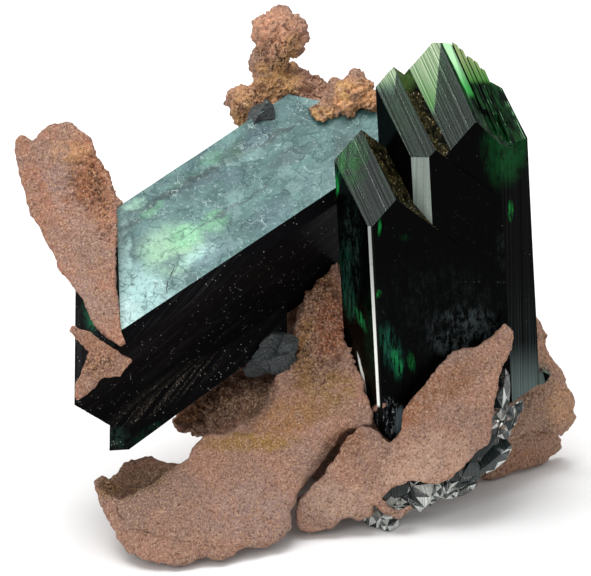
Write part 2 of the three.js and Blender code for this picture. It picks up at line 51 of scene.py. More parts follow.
# Directions of the crystals
ACROSS_RIDGES = Vector((0.88, 0.475, 0.0)).normalized()
RIDGE_WAY = Vector((-0.475, 0.88, 0.72)).normalized()
FRONT_WAY = Vector((0.348, -0.9375, 0.0)).normalized()
LONG_WAY = Vector((0.78, 0.53, 0.33)).normalized()
ACROSS_LONG = Vector((-0.32, -0.47, 0.82)).normalized()
PEARL_WAY = Vector((0.06, -0.47, 0.88)).normalized()
UPRIGHT = Vector((0, 0, 1))

# From the specimen to the observer, and up on the sheet
BACK_WAY = Vector((0, -math.cos(SIGHT_PITCH), math.sin(SIGHT_PITCH)))
UP_WAY = Vector((0, math.sin(SIGHT_PITCH), math.cos(SIGHT_PITCH)))


def seen(across, down, toward):
    """A place on the sight sheet as a point of the row frame, in metres."""
    right = (across - SHEET_MIDDLE) * SHEET_UNIT
    up = (SHEET_FLOOR - down) * SHEET_UNIT
    y = up * math.sin(SIGHT_PITCH) - toward * math.cos(SIGHT_PITCH)
    z = up * math.cos(SIGHT_PITCH) + toward * math.sin(SIGHT_PITCH)
    return (Vector((right, y, z)) + CENTRING) * MM


def on_sheet(point):
    """Where a point of the row frame, in metres, lies on the sight sheet."""
    place = point / MM - CENTRING
    return SHEET_MIDDLE + place.x / SHEET_UNIT, SHEET_FLOOR - place.dot(UP_WAY) / SHEET_UNIT


# Steps of the materials

# How finely the sheet is bent across and down, in cells to a metre
SIDE_SWING = 310
DOWN_SWING = 350


class Shader:
    """Builds one material from small node steps on object coordinates. Scales are cells to a metre."""

    def __init__(self, name, wobble=0.0):
        self.material = bpy.data.materials.new(name)
        self.material.use_nodes = True
        self.tree = self.material.node_tree
        self.tree.nodes.clear()
        self.out = self.tree.nodes.new("ShaderNodeOutputMaterial")
        self.bsdf = self.tree.nodes.new("ShaderNodeBsdfPrincipled")
        self.tree.links.new(self.bsdf.outputs[0], self.out.inputs["Surface"])
        self.place = self.tree.nodes.new("ShaderNodeTexCoord").outputs["Object"]
        self.lay_sheet(wobble)

    def lay_sheet(self, wobble):
        """The place on the sight sheet: across, down. Wobble bends it, in sheet units."""
        unit = SHEET_UNIT * MM
        middle = SHEET_MIDDLE - CENTRING.x / SHEET_UNIT
        self.across = self.math("ADD", self.along(Vector((1, 0, 0)) / unit), middle)
        floor = SHEET_FLOOR + CENTRING.dot(UP_WAY) / SHEET_UNIT
        self.down = self.math("SUBTRACT", floor, self.along(UP_WAY / unit))
        if wobble:
            self.across = self.math("ADD", self.across, self.swing(SIDE_SWING, wobble))
            self.down = self.math("ADD", self.down, self.swing(DOWN_SWING, wobble))
        both = self.tree.nodes.new("ShaderNodeCombineXYZ")
        self.put(both.inputs[0], self.across)
        self.put(both.inputs[1], self.down)
        self.sheet = both.outputs[0]

    def swing(self, scale, size):
        """A slow noise from minus size to size."""
        return self.times(self.math("SUBTRACT", self.noise(scale, 3), 0.5), 2 * size)

    def put(self, socket, value):
        if isinstance(value, bpy.types.NodeSocket):
            self.tree.links.new(value, socket)
        else:
            socket.default_value = value

    def set(self, name, value):
        self.put(self.bsdf.inputs[name], value)

    def coated(self, colour, rough, specular, normal=None):
        """The finished material, with its colour, roughness, gloss and the slope of its surface."""
        self.set("Base Color", colour)
        self.set("Roughness", rough)
        self.set("Specular IOR Level", specular)
        if normal is not None:
            self.set("Normal", normal)
        return self.material

    def math(self, operation, a, b=0.0):
        node = self.tree.nodes.new("ShaderNodeMath")
        node.operation = operation
        self.put(node.inputs[0], a)
        self.put(node.inputs[1], b)
        return node.outputs[0]

    def vector(self, operation, a, b):
        node = self.tree.nodes.new("ShaderNodeVectorMath")
        node.operation = operation
        self.put(node.inputs[0], a)
        self.put(node.inputs[1], b)
        return node.outputs["Value" if operation == "DOT_PRODUCT" else "Vector"]

    def along(self, direction):
        """How far the place lies along a direction."""
        return self.vector("DOT_PRODUCT", self.place, direction)

    def stretched(self, way, stretch):
        """The place with its part along a direction divided by stretch."""
        node = self.tree.nodes.new("ShaderNodeVectorMath")
        node.operation = "SCALE"
        node.inputs[0].default_value = way
        self.put(node.inputs["Scale"], self.times(self.along(way), 1.0 - 1.0 / stretch))
        return self.vector("SUBTRACT", self.place, node.outputs[0])

    def noise(self, scale, detail=3.0, rough=0.55, way=None, stretch=1.0):
        node = self.tree.nodes.new("ShaderNodeTexNoise")
        node.inputs["Scale"].default_value = scale
        node.inputs["Detail"].default_value = detail
        node.inputs["Roughness"].default_value = rough
        self.put(node.inputs["Vector"], self.place if way is None else self.stretched(way, stretch))
        return node.outputs[0]

    def stripes(self, way, scale, detail=4.0):
        """Noise that changes only along one direction."""
        node = self.tree.nodes.new("ShaderNodeTexNoise")
        node.noise_dimensions = "1D"
        node.inputs["Scale"].default_value = scale
        node.inputs["Detail"].default_value = detail
        self.put(node.inputs["W"], self.along(way))
        return node.outputs[0]

    def cells(self, scale, output="Distance", feature="F1", source=None):
        node = self.tree.nodes.new("ShaderNodeTexVoronoi")
        node.feature = feature
        node.inputs["Scale"].default_value = scale
        self.put(node.inputs["Vector"], self.place if source is None else source)
        return node.outputs[output]

    def step(self, value, low, high):
        """A smooth step: 0 at low, 1 at high, which may be the smaller one."""
        node = self.tree.nodes.new("ShaderNodeMapRange")
        node.interpolation_type = "SMOOTHSTEP"
        self.put(node.inputs["Value"], value)
        node.inputs["From Min"].default_value = low
        node.inputs["From Max"].default_value = high
        return node.outputs[0]

    def times(self, a, b):
        return self.math("MULTIPLY", a, b)

    def without(self, mask):
        """1 where a mask is 0."""
        return self.math("SUBTRACT", 1.0, mask)

    def either(self, a, b):
        """The larger of two masks."""
        return self.math("MAXIMUM", a, b)

    def spot(self, across, down, wide, high, turn=0.0, inner=0.3):
        """1 inside an ellipse of the sight sheet, falling to 0 at its rim. turn is clockwise."""
        angle = math.radians(turn)
        way = Vector((math.cos(angle), math.sin(angle), 0))
        side = Vector((-math.sin(angle), math.cos(angle), 0))
        away = self.vector("SUBTRACT", self.sheet, (across, down, 0))
        a = self.vector("DOT_PRODUCT", away, way / wide)
        b = self.vector("DOT_PRODUCT", away, side / high)
        squared = self.math("ADD", self.times(a, a), self.times(b, b))
        return self.step(squared, 1.0, inner * inner)

    def side(self, start, end, soft=1.0):
        """1 to the right of a line down the sight sheet, 0 to its left."""
        slant = (end[0] - start[0]) / (end[1] - start[1])
        off = self.math("SUBTRACT", self.across, self.times(self.down, slant))
        line = start[0] - slant * start[1]
        return self.step(off, line - soft, line + soft)

    def mix(self, factor, a, b):
        node = self.tree.nodes.new("ShaderNodeMix")
        node.data_type = "RGBA"
        self.put(node.inputs[0], factor)
        self.put(node.inputs[6], a if isinstance(a, bpy.types.NodeSocket) else (*a, 1.0))
        self.put(node.inputs[7], b if isinstance(b, bpy.types.NodeSocket) else (*b, 1.0))
        return node.outputs[2]

    def paint(self, colour, patches, breakup, inner=0.3):
        """Patches of colour: (across, down, wide, high, turn), colour, strength."""
        for ellipse, tint, strength in patches:
            mask = self.times(self.spot(*ellipse, inner), breakup)
            colour = self.mix(self.times(mask, strength), colour, tint)
        return colour

    def specks(self, scale, size, sparse):
        """Small round grains where a slow noise allows them."""
        grains = self.step(self.cells(scale), size, 0.5 * size)
        return self.times(grains, self.step(self.noise(0.3 * scale, 2), sparse, sparse + 0.1))

    def bump(self, height, distance, strength=1.0, before=None):
        node = self.tree.nodes.new("ShaderNodeBump")
        node.inputs["Strength"].default_value = strength
        node.inputs["Distance"].default_value = distance
        self.put(node.inputs["Height"], height)
        if before is not None:
            self.put(node.inputs["Normal"], before)
        return node.outputs[0]


# Crust

PINK_BROWN = (0.45, 0.238, 0.172)
MAUVE_BROWN = (0.34, 0.212, 0.172)
TONGUE_PINK = (0.45, 0.20, 0.13)
RIGHT_BROWN = (0.42, 0.25, 0.185)
RIGHT_MAUVE = (0.34, 0.215, 0.165)
# Dark grains of the crust, and painted shade in its creases and pits
DEEP_BROWN_GRAIN_AND_SHADE = (0.11, 0.055, 0.035)
SHADOW_BROWN = (0.13, 0.08, 0.06)
PALE_GRAIN = (0.70, 0.48, 0.33)
ORANGE = (0.40, 0.14, 0.05)
RUST = (0.135, 0.045, 0.016)
OCHRE = (0.27, 0.145, 0.045)
GOLD_OCHRE = (0.33, 0.19, 0.055)
TAN = (0.78, 0.42, 0.20)
KNOB_GOLD = (0.88, 0.50, 0.19)
PALE_PINK = (0.66, 0.44, 0.34)
GREY_MAUVE = (0.41, 0.285, 0.255)
# Dark lumps of coarse grain, and painted shadow in the right plate's crevice
COARSE_DARK_AND_CREVICE_SHADE = (0.07, 0.034, 0.018)
COARSE_OCHRE = (0.50, 0.30, 0.10)
BRICK_RED = (0.36, 0.11, 0.06)
AMBER = (0.50, 0.25, 0.07)
SHELL_OCHRE = (0.36, 0.20, 0.05)
WARM_TAN = (0.44, 0.21, 0.075)
BURNT_ORANGE = (0.40, 0.15, 0.055)
RED_BROWN = (0.24, 0.09, 0.04)
# Red-brown darkened by painted shade, in the hollow below the long crystal
SHADED_RED_BROWN = (0.16, 0.07, 0.04)
# Painted shade on the shell's inner wall
WALL_SHADE_BROWN = (0.22, 0.14, 0.085)
KNOB_ROSE = (0.88, 0.44, 0.28)
KNOB_AMBER = (0.78, 0.42, 0.17)
KNOB_BROWN = (0.60, 0.32, 0.22)
KNOB_ORANGE = (0.98, 0.50, 0.23)
KNOB_YELLOW = (0.85, 0.50, 0.18)
PLATE_BROWN = (0.30, 0.135, 0.07)
PLATE_ORANGE = (0.36, 0.14, 0.07)
PLATE_RED_BROWN = (0.30, 0.14, 0.085)
DULL_BROWN = (0.29, 0.16, 0.115)
GLASSY_GREY = (0.13, 0.13, 0.12)
OCHRE_GRAIN = (0.40, 0.21, 0.07)
# Pale grains, partly painted glints
BRIGHT_GRAIN_AND_GLINT = (0.95, 0.82, 0.66)

# Patches of colour and painted shade: ellipse on the sheet, colour, strength. The front plate
# shares the core's.
CORE_PATCHES = [
    ((250, 510, 70, 40, 0), GREY_MAUVE, 0.7),
    ((150, 545, 40, 22, 10), PINK_BROWN, 0.6),
    ((318, 284, 24, 28, 0), RUST, 1.0),
    ((330, 328, 22, 44, 5), BRICK_RED, 1.0),
    ((303, 335, 10, 26, 25), AMBER, 0.9),
    ((303, 372, 16, 40, 15), OCHRE, 0.8),
    ((330, 388, 34, 22, 0), GOLD_OCHRE, 0.85),
    ((318, 410, 40, 16, -8), OCHRE, 0.7),
    ((250, 442, 58, 13, -3), SHELL_OCHRE, 1.0),
    ((285, 420, 40, 24, -10), WARM_TAN, 0.75),
    # Painted shade along the crease of the shell's rim
    ((121, 512, 14, 1.7, 58), DEEP_BROWN_GRAIN_AND_SHADE, 0.7),
    ((152, 533, 24, 1.6, 20), DEEP_BROWN_GRAIN_AND_SHADE, 0.7),
    # Painted shade in the hollow below the long crystal
    ((215, 405, 55, 30, -25), SHADOW_BROWN, 0.9),
    ((192, 412, 22, 16, -35), BURNT_ORANGE, 1.0),
    ((225, 392, 24, 12, -35), RED_BROWN, 0.8),
    ((255, 408, 12, 26, 30), SHADED_RED_BROWN, 0.8),
    ((262, 400, 16, 28, 30), SHADOW_BROWN, 0.85),
    # Painted shade on the shell's inner wall, behind its rim
    ((140, 480, 44, 18, -18), WALL_SHADE_BROWN, 0.9),
    ((110, 486, 18, 12, 0), OCHRE, 0.8),
    ((335, 445, 36, 12, -40), SHADOW_BROWN, 0.8),
    ((278, 34, 36, 32, 0), KNOB_ROSE, 0.95),
    ((275, 72, 30, 20, 0), KNOB_AMBER, 0.95),
    ((284, 84, 30, 12, 0), KNOB_GOLD, 0.9),
    ((290, 48, 14, 20, 0), KNOB_GOLD, 0.6),
    ((262, 96, 40, 24, 0), TAN, 0.95),
    ((240, 112, 14, 18, 0), KNOB_GOLD, 0.7),
    ((310, 90, 20, 18, 0), KNOB_BROWN, 0.8),
    ((322, 118, 22, 16, 0), KNOB_GOLD, 0.8),
    ((358, 100, 36, 26, -20), KNOB_ORANGE, 1.0),
    ((345, 90, 12, 12, 0), KNOB_YELLOW, 0.7),
    ((440, 390, 62, 20, -35), PLATE_BROWN, 0.85),
    ((405, 415, 24, 18, -55), PLATE_ORANGE, 0.8),
    ((350, 440, 26, 20, 0), PLATE_RED_BROWN, 0.85),
    ((425, 465, 62, 34, -30), PALE_PINK, 0.75),
    ((340, 500, 40, 24, 0), PALE_PINK, 0.6),
]
TONGUE_PATCHES = [
    ((92, 185, 24, 60, -22), ORANGE, 0.6),
    # Painted shade in the tongue's dark pits
    ((100, 188, 4, 15, -12), DEEP_BROWN_GRAIN_AND_SHADE, 0.9),
    ((60, 190, 16, 50, -25), GREY_MAUVE, 0.6),
    ((74, 152, 26, 14, 0), TAN, 0.5),
    ((84, 290, 16, 50, -22), GREY_MAUVE, 0.5),
    ((100, 368, 34, 36, 0), DULL_BROWN, 0.8),
]
RIGHT_PATCHES = [
    ((552, 345, 14, 24, 0), ORANGE, 0.4),
    ((520, 462, 40, 14, -15), ORANGE, 0.35),
    ((560, 405, 20, 26, 0), TAN, 0.4),
    # Painted shadow in the crevice above the right ledge
    ((524, 436, 9, 3.2, -28), COARSE_DARK_AND_CREVICE_SHADE, 1.0),
    ((544, 433, 17, 3.2, 4), COARSE_DARK_AND_CREVICE_SHADE, 1.0),
    ((546, 371, 9, 14, -10), GLASSY_GREY, 0.9),
]

# Where the grains are coarse on the core: the pillar, the wall below the long crystal, the knobs
# and the shell's left corner. On the tongue: its pitted part and its foot.
COARSE_CORE = [
    (318, 325, 30, 82, 0), (225, 405, 62, 26, -30), (275, 100, 52, 28, 0), (278, 52, 34, 26, 0),
    (110, 484, 20, 14, 0),
]
COARSE_TONGUE = [(97, 188, 11, 44, -18), (100, 362, 18, 16, 0)]


def coarse_grains(s, colour, ellipses):
    """Dark and ochre lumps inside some ellipses of the sheet."""
    lumps = s.noise(1500, 4, 0.85)
    dark = s.step(lumps, 0.49, 0.42)
    ochre = s.times(s.step(lumps, 0.54, 0.60), 0.6)
    for ellipse in ellipses:
        inside = s.spot(*ellipse)
        colour = s.mix(s.times(inside, dark), colour, COARSE_DARK_AND_CREVICE_SHADE)
        colour = s.mix(s.times(inside, ochre), colour, COARSE_OCHRE)
    return colour


def crust_material(name, base, second, patches, coarse=()):
    """Sandy iron crust with dark and pale grains, coarser in some ellipses of the sheet, and painted
    shade.
    """
    s = Shader(name, wobble=9)
    colour = s.mix(s.step(s.noise(140, 4, 0.6), 0.36, 0.64), base, second)
    colour = s.paint(colour, patches, s.step(s.noise(520, 4, 0.7), 0.30, 0.58))
    colour = coarse_grains(s, colour, coarse)
    grain = s.noise(2700, 4, 0.85)
    dark = s.step(grain, 0.50, 0.41)
    colour = s.mix(s.times(dark, 0.78), colour, DEEP_BROWN_GRAIN_AND_SHADE)
    pale = s.step(s.noise(3000, 3, 0.8), 0.52, 0.61)
    colour = s.mix(s.times(pale, 0.62), colour, PALE_GRAIN)
    ochre = s.step(s.noise(1700, 4, 0.8), 0.55, 0.63)
    colour = s.mix(s.times(ochre, 0.5), colour, OCHRE_GRAIN)
    # Bright specks: pale grains, partly painted glints
    colour = s.mix(s.specks(2300, 0.20, 0.55), colour, BRIGHT_GRAIN_AND_GLINT)
    lumpy = s.bump(s.noise(900, 4, 0.7), 0.5 * MM, 0.9)
    return s.coated(colour, 0.88, 0.1, s.bump(grain, 0.25 * MM, 0.9, lumpy))


# Crystals

BODY_GREEN = (0.35, 0.70, 0.33)
BODY_DENSITY = 760.0
CLEARNESS = 0.94


def crystal_body(s, absorb, density, ior, rough):
    """Clear crystal with an absorbing inside."""
    s.set("Transmission Weight", CLEARNESS)
    s.set("IOR", ior)
    s.set("Roughness", rough)
    volume = s.tree.nodes.new("ShaderNodeVolumeAbsorption")
    volume.inputs["Color"].default_value = (*absorb, 1.0)
    volume.inputs["Density"].default_value = density
    s.tree.links.new(volume.outputs[0], s.out.inputs["Volume"])


# Lines on the sheet down the sides of the dusty groove, and down the ridge of the right crystal
GROOVE_LEFT = ((396, 68), (437, 153))
GROOVE_RIGHT = ((410.5, 73.5), (453.5, 159))
APEX_RIDGE = ((440.5, 45), (477, 128))

# Light through the thin tips: the lines at its left and right, its top and its foot. It fades
# over the last part above its foot, and its top stays pale.
TIP_LIGHT = [
    (GROOVE_RIGHT, ((440, 46), (433, 118)), 46, 126),
    (((370, 80), (378, 100)), ((396, 68), (394, 100)), 68, 98),
]
TIP_FADE = 22
PALE_TOP = 8
ROOF_GLOW_AT = (348, 158, 30, 34)
PALE_TIP = (0.74, 0.88, 0.60)
GREEN_TIP = (0.10, 0.42, 0.075)
ROOF_PALE = (0.50, 0.66, 0.60)
ROOF_LINE = (0.05, 0.08, 0.07)
ROOF_BAND = (0.22, 0.32, 0.28)
ROOF_GLOW = (0.10, 0.75, 0.18)
ROOF_DUST = (0.8, 0.8, 0.72)
TIP_LINE = (0.04, 0.20, 0.035)


def striated_crystal_material():
    """The roofs, the back and the tips: see-through where they are thin, with fine furrows."""
    s = Shader("striated green crystal")
    crystal_body(s, BODY_GREEN, BODY_DENSITY, 1.6, 0.06)
    lines = s.stripes(ACROSS_RIDGES, 3600, 3)
    fine = s.stripes(ACROSS_RIDGES, 6500, 3)
    broad = s.stripes(ACROSS_RIDGES, 900, 2)
    line = s.step(lines, 0.56, 0.42)
    colour = s.mix(line, ROOF_PALE, ROOF_LINE)
    colour = s.mix(s.times(s.step(broad, 0.58, 0.42), 0.5), colour, ROOF_BAND)
    glow = s.times(s.spot(*ROOF_GLOW_AT), s.step(s.noise(500, 3), 0.36, 0.6))
    colour = s.mix(s.times(glow, 0.7), colour, ROOF_GLOW)
    colour = s.mix(s.specks(1900, 0.11, 0.55), colour, ROOF_DUST)
    solid = s.specks(1900, 0.10, 0.55)
    for left, right, top, foot in TIP_LIGHT:
        inside = s.math("SUBTRACT", s.side(*left, 0.7), s.side(*right, 0.7))
        fade = s.times(s.either(inside, 0.0), s.step(s.down, foot, foot - TIP_FADE))
        tip = s.mix(s.step(s.down, top + PALE_TOP, foot), PALE_TIP, GREEN_TIP)
        tip = s.mix(s.times(s.step(fine, 0.55, 0.46), 0.8), tip, TIP_LINE)
        colour = s.mix(fade, colour, tip)
        solid = s.either(solid, s.times(fade, 0.62))
    s.set("Base Color", colour)
    s.set("Transmission Weight", s.math("SUBTRACT", CLEARNESS, s.times(solid, 0.9)))
    s.set("Normal", s.bump(lines, 0.12 * MM, 0.7))
    return s.material


BLACK_GLASS = (0.0006, 0.0009, 0.0007)
GROOVE_BLACK = (0.0015, 0.002, 0.0012)
GROOVE_HAZE = (0.10, 0.09, 0.035)
GOLD_DUST = (0.50, 0.37, 0.15)
GROOVE_GREEN = (0.06, 0.13, 0.03)
BRIGHT_DUST = (0.95, 0.88, 0.7)
GREEN_HEAD = (402, 80, 16, 16)

# Where the groove's faces turn black: at the foot, and in a sliver beside the right crystal.
GROOVE_FOOT = (234, 237)
SLIVER_TOP = (160, 163)
SLIVER_LEFT = (446, 449)


def groove_material():
    """The faces between the crystals: black, with golden dust."""
    s = Shader("dusty groove", wobble=3)
    where = s.step(s.noise(600, 3, 0.7), 0.38, 0.56)
    dust = s.times(s.step(s.cells(2700), 0.26, 0.14), where)
    colour = s.mix(s.times(where, 0.16), GROOVE_BLACK, GROOVE_HAZE)
    colour = s.mix(dust, colour, GOLD_DUST)
    green = s.spot(*GREEN_HEAD)
    colour = s.mix(s.times(green, 0.6), colour, GROOVE_GREEN)
    speck = s.times(s.step(s.cells(1900), 0.13, 0.07), where)
    colour = s.mix(speck, colour, BRIGHT_DUST)
    sliver = s.times(s.step(s.down, *SLIVER_TOP), s.step(s.across, *SLIVER_LEFT))
    colour = s.mix(s.either(s.step(s.down, *GROOVE_FOOT), sliver), colour, BLACK_GLASS)
    return s.coated(colour, 0.35, 0.03, s.bump(s.noise(2600, 3, 0.7), 0.2 * MM, 0.6))


MINT = (0.46, 0.82, 0.46)
OLIVE = (0.30, 0.40, 0.17)
SHOULDER_BLACK = (0.0012, 0.004, 0.002)
SHOULDER_GREEN = (0.010, 0.055, 0.016)
# Painted glints along the shoulder's steps
SHOULDER_GLINT_LINE = (0.22, 0.46, 0.24)
DEEP_MINT = (0.06, 0.42, 0.09)
DEEP_OLIVE = (0.07, 0.24, 0.05)
OLIVE_LINE = (0.07, 0.14, 0.045)

# Lines on the sheet down the left and the right side of the mint gleam, and where it ends
GLEAM_LEFT = ((442, 45), (468, 98))
GLEAM_RIGHT = ((452, 46), (473, 95))
GLEAM_FOOT = (100, 92)
GLEAM_TONES = (56, 92)
OLIVE_TONES = (52, 84)
OLIVE_FOOT = (86, 79)

# Where the shoulder's left part turns black
BLACK_TOP = (156, 160)
BLACK_RIGHT = (498, 494)


def shoulder_material():
    """The stepped right shoulder: dark green, with painted glints along its steps and a mint gleam at
    the apex.
    """
    s = Shader("green stepped shoulder", wobble=1)
    glow = s.step(s.noise(900, 4, 0.75, RIDGE_WAY, 3.0), 0.40, 0.66)
    colour = s.mix(glow, SHOULDER_BLACK, SHOULDER_GREEN)
    lines = s.stripes(ACROSS_RIDGES, 2600, 4)
    # Painted glints: bright lines along the steps
    bright = s.times(s.step(lines, 0.60, 0.68), s.step(s.noise(420, 3, 0.7), 0.46, 0.62))
    colour = s.mix(s.times(bright, 0.85), colour, SHOULDER_GLINT_LINE)
    beyond = s.side(*GLEAM_RIGHT, 0.8)
    mint = s.times(s.side(*GLEAM_LEFT, 0.6), s.step(s.down, *GLEAM_FOOT))
    strip = s.mix(s.step(s.down, *GLEAM_TONES), MINT, DEEP_MINT)
    colour = s.mix(s.times(mint, s.without(beyond)), colour, strip)
    olive = s.mix(s.step(s.down, *OLIVE_TONES), OLIVE, DEEP_OLIVE)
    olive = s.mix(s.times(s.step(lines, 0.45, 0.6), 0.35), olive, OLIVE_LINE)
    colour = s.mix(s.times(beyond, s.step(s.down, *OLIVE_FOOT)), colour, olive)
    low = s.times(s.step(s.down, *BLACK_TOP), s.step(s.across, *BLACK_RIGHT))
    return s.coated(s.mix(low, colour, BLACK_GLASS), 0.3, 0.06, s.bump(lines, 0.12 * MM, 0.6))


GLEAM_GREEN = (0.012, 0.32, 0.055)
DIM_GREEN = (0.004, 0.09, 0.02)
TEAL = (0.010, 0.085, 0.050)
BLUE_DUST = (0.055, 0.072, 0.076)
GREY_DUST = (0.16, 0.17, 0.16)
BROWN_GLASS = (0.022, 0.014, 0.006)
STREAK_GREEN = (0.012, 0.24, 0.07)
DIM_TEAL = (0.006, 0.045, 0.028)
FOOT_GREEN = (0.010, 0.19, 0.055)
FAINT_GREEN = (0.002, 0.02, 0.008)
CORNER_GREEN = (0.004, 0.035, 0.010)
CORNER_LIGHT = (0.006, 0.07, 0.016)
CORNER_TOP = (0.003, 0.05, 0.012)
# Painted green light in the front's upper corner
FRONT_GLOW_GREEN = (0.003, 0.035, 0.009)
# Painted green light in the right face's upper corner
SIDE_GLOW_GREEN = (0.004, 0.055, 0.013)
TEAL_DUST = (0.02, 0.04, 0.034)
FAINT_DUST = (0.012, 0.015, 0.016)
SCRATCH_DUST = (0.06, 0.07, 0.072)
EDGE_DUST = (0.016, 0.022, 0.022)
DARK_FROST = (0.03, 0.04, 0.05)
PALE_FROST = (0.38, 0.42, 0.44)
BLUE_FROST = (0.10, 0.14, 0.16)
WHITE_EDGE = (0.80, 0.82, 0.78)
CRUMB_BROWN = (0.36, 0.20, 0.145)
PALE_DUST = (0.42, 0.44, 0.40)
COOL_DUST = (0.40, 0.44, 0.41)
FURROW_GREY = (0.03, 0.042, 0.045)
FOOT_DARK = (0.06, 0.085, 0.08)
FOOT_PALE = (0.125, 0.165, 0.155)

# Light inside the front faces, and dust on them: ellipse on the sheet, colour, strength.
FRONT_LIGHT = [
    ((336, 187, 4, 17, 10), GLEAM_GREEN, 1.0),
    ((339, 172, 4, 12, 0), TEAL, 0.8),
    ((379, 227, 2.2, 12, 5), GLEAM_GREEN, 0.6),
    ((378, 294, 4, 5, 0), GLEAM_GREEN, 1.0),
    ((360, 319, 4, 17, -24), STREAK_GREEN, 0.9),
    ((349, 300, 8, 26, -10), TEAL, 0.9),
    ((346, 262, 9, 26, 0), DIM_TEAL, 0.9),
    ((391, 350, 13, 36, -16), TEAL, 0.95),
    ((397, 362, 6, 20, -14), FOOT_GREEN, 0.9),
    ((411, 362, 5, 14, -10), DIM_GREEN, 0.9),
    ((404, 238, 7, 5, 0), DIM_GREEN, 0.15),
    ((372, 330, 10, 60, 0), FAINT_GREEN, 0.9),
    ((500, 145, 24, 52, 0), CORNER_GREEN, 1.0),
    ((505, 152, 12, 34, 0), CORNER_LIGHT, 0.8),
    ((510, 211, 3.6, 13, 0), GLEAM_GREEN, 0.8),
    ((515, 110, 14, 30, 0), CORNER_TOP, 0.9),
    ((357, 372, 10, 40, -8), BROWN_GLASS, 0.9),
]
FRONT_DUST = [
    ((462, 330, 42, 30, -20), BLUE_DUST, 1.0),
    ((350, 256, 14, 70, 0), TEAL_DUST, 0.8),
    ((440, 310, 90, 60, 0), FAINT_DUST, 0.45),
    ((495, 282, 44, 1.2, 0), SCRATCH_DUST, 0.8),
    ((505, 250, 14, 40, 0), EDGE_DUST, 0.6),
]

# Ellipses of the sheet, with the share that is even inside: the front's corner of painted green light,
# its frosted foot with a blue heart, its white edge and its brown crumb, and the right face's corner of
# painted green light.
FRONT_GLOW_CORNER = (500, 146, 20, 50, 0, 0.1)
FROSTED_FOOT = (388, 418, 15, 24, 0, 0.2)
FROST_HEART = (399, 420, 5, 17, 8, 0.4)
EDGE_LINE = (362, 373, 1.6, 24, -12, 0.6)
CRUMB = (378, 407, 10, 3.5, -20, 0.7)
RIGHT_GLOW_CORNER = (507, 140, 26, 52, 0, 0.1)

# How far down the right face its lines begin to show, and its foot to turn pale
LINED_FROM = (262, 350)
PALE_FROM = (338, 392)


def front_face_material():
    """The upright front faces: black, with green light inside and pale dust."""
    s = Shader("dark front face", wobble=1.5)
    drawn = s.step(s.noise(1900, 4, 0.8, UPRIGHT, 6.0), 0.42, 0.62)
    furrows = s.stripes(ACROSS_RIDGES, 3200, 4)
    colour = s.paint(BLACK_GLASS, FRONT_LIGHT, drawn, 0.0)
    # Painted green light in the front's upper corner
    green = s.times(s.spot(*FRONT_GLOW_CORNER), s.step(s.noise(420, 3, 0.6), 0.30, 0.62))
    colour = s.mix(green, colour, FRONT_GLOW_GREEN)
    streaks = s.step(s.noise(1500, 4, 0.85, UPRIGHT, 3.5), 0.43, 0.62)
    dusty = s.times(streaks, s.step(s.noise(520, 3, 0.7), 0.36, 0.60))
    colour = s.paint(colour, FRONT_DUST, dusty, 0.0)
    scratches = s.noise(2300, 4, 0.9, UPRIGHT, 4.0)
    tip = s.times(s.spot(*FROSTED_FOOT), s.step(scratches, 0.50, 0.60))
    frost = s.mix(s.step(s.noise(2400, 3, 0.8), 0.46, 0.62), DARK_FROST, PALE_FROST)
    colour = s.mix(tip, colour, frost)
    colour = s.mix(s.times(s.spot(*FROST_HEART), 0.8), colour, BLUE_FROST)
    colour = s.mix(s.spot(*EDGE_LINE), colour, WHITE_EDGE)
    crumb = s.times(s.spot(*CRUMB), s.step(s.noise(2600, 3), 0.35, 0.5))
    colour = s.mix(crumb, colour, CRUMB_BROWN)
    colour = s.mix(s.times(s.specks(2300, 0.13, 0.52), 0.4), colour, GREY_DUST)
    colour = s.mix(s.specks(1700, 0.08, 0.60), colour, PALE_DUST)
    return s.coated(colour, 0.2, 0.02, s.bump(furrows, 0.1 * MM, 0.5))


def right_face_material():
    """The narrow face at the right end: finely lined, with a pale foot."""
    s = Shader("lined right face", wobble=2)
    furrows = s.stripes(ACROSS_RIDGES, 4200, 4)
    glow = s.step(s.noise(1500, 4, 0.8, UPRIGHT, 5.0), 0.42, 0.62)
    colour = s.paint(BLACK_GLASS, FRONT_LIGHT, glow, 0.0)
    # Painted green light in the right face's upper corner
    green = s.times(s.spot(*RIGHT_GLOW_CORNER), s.step(s.noise(420, 3, 0.6), 0.30, 0.62))
    colour = s.mix(green, colour, SIDE_GLOW_GREEN)
    lined = s.times(s.step(furrows, 0.50, 0.64), s.step(s.down, *LINED_FROM))
    colour = s.mix(s.times(lined, 0.6), colour, FURROW_GREY)
    pale = s.mix(s.step(furrows, 0.38, 0.60), FOOT_DARK, FOOT_PALE)
    colour = s.mix(s.step(s.down, *PALE_FROM), colour, pale)
    colour = s.mix(s.specks(1900, 0.10, 0.56), colour, COOL_DUST)
    return s.coated(colour, 0.2, 0.01, s.bump(furrows, 0.05 * MM, 0.4))


STRIP_GREY = (0.34, 0.36, 0.34)
STRIP_WHITE = (0.93, 0.95, 0.90)
STRIP_SPOT = (0.10, 0.11, 0.10)

# Places on the sheet: where the strip turns from grey to white, its edge beside the black face,
# and its end.
STRIP_TONES = (235, 370)
STRIP_EDGE = ((370.5, 230), (379.5, 400))
STRIP_FOOT = (404, 408)


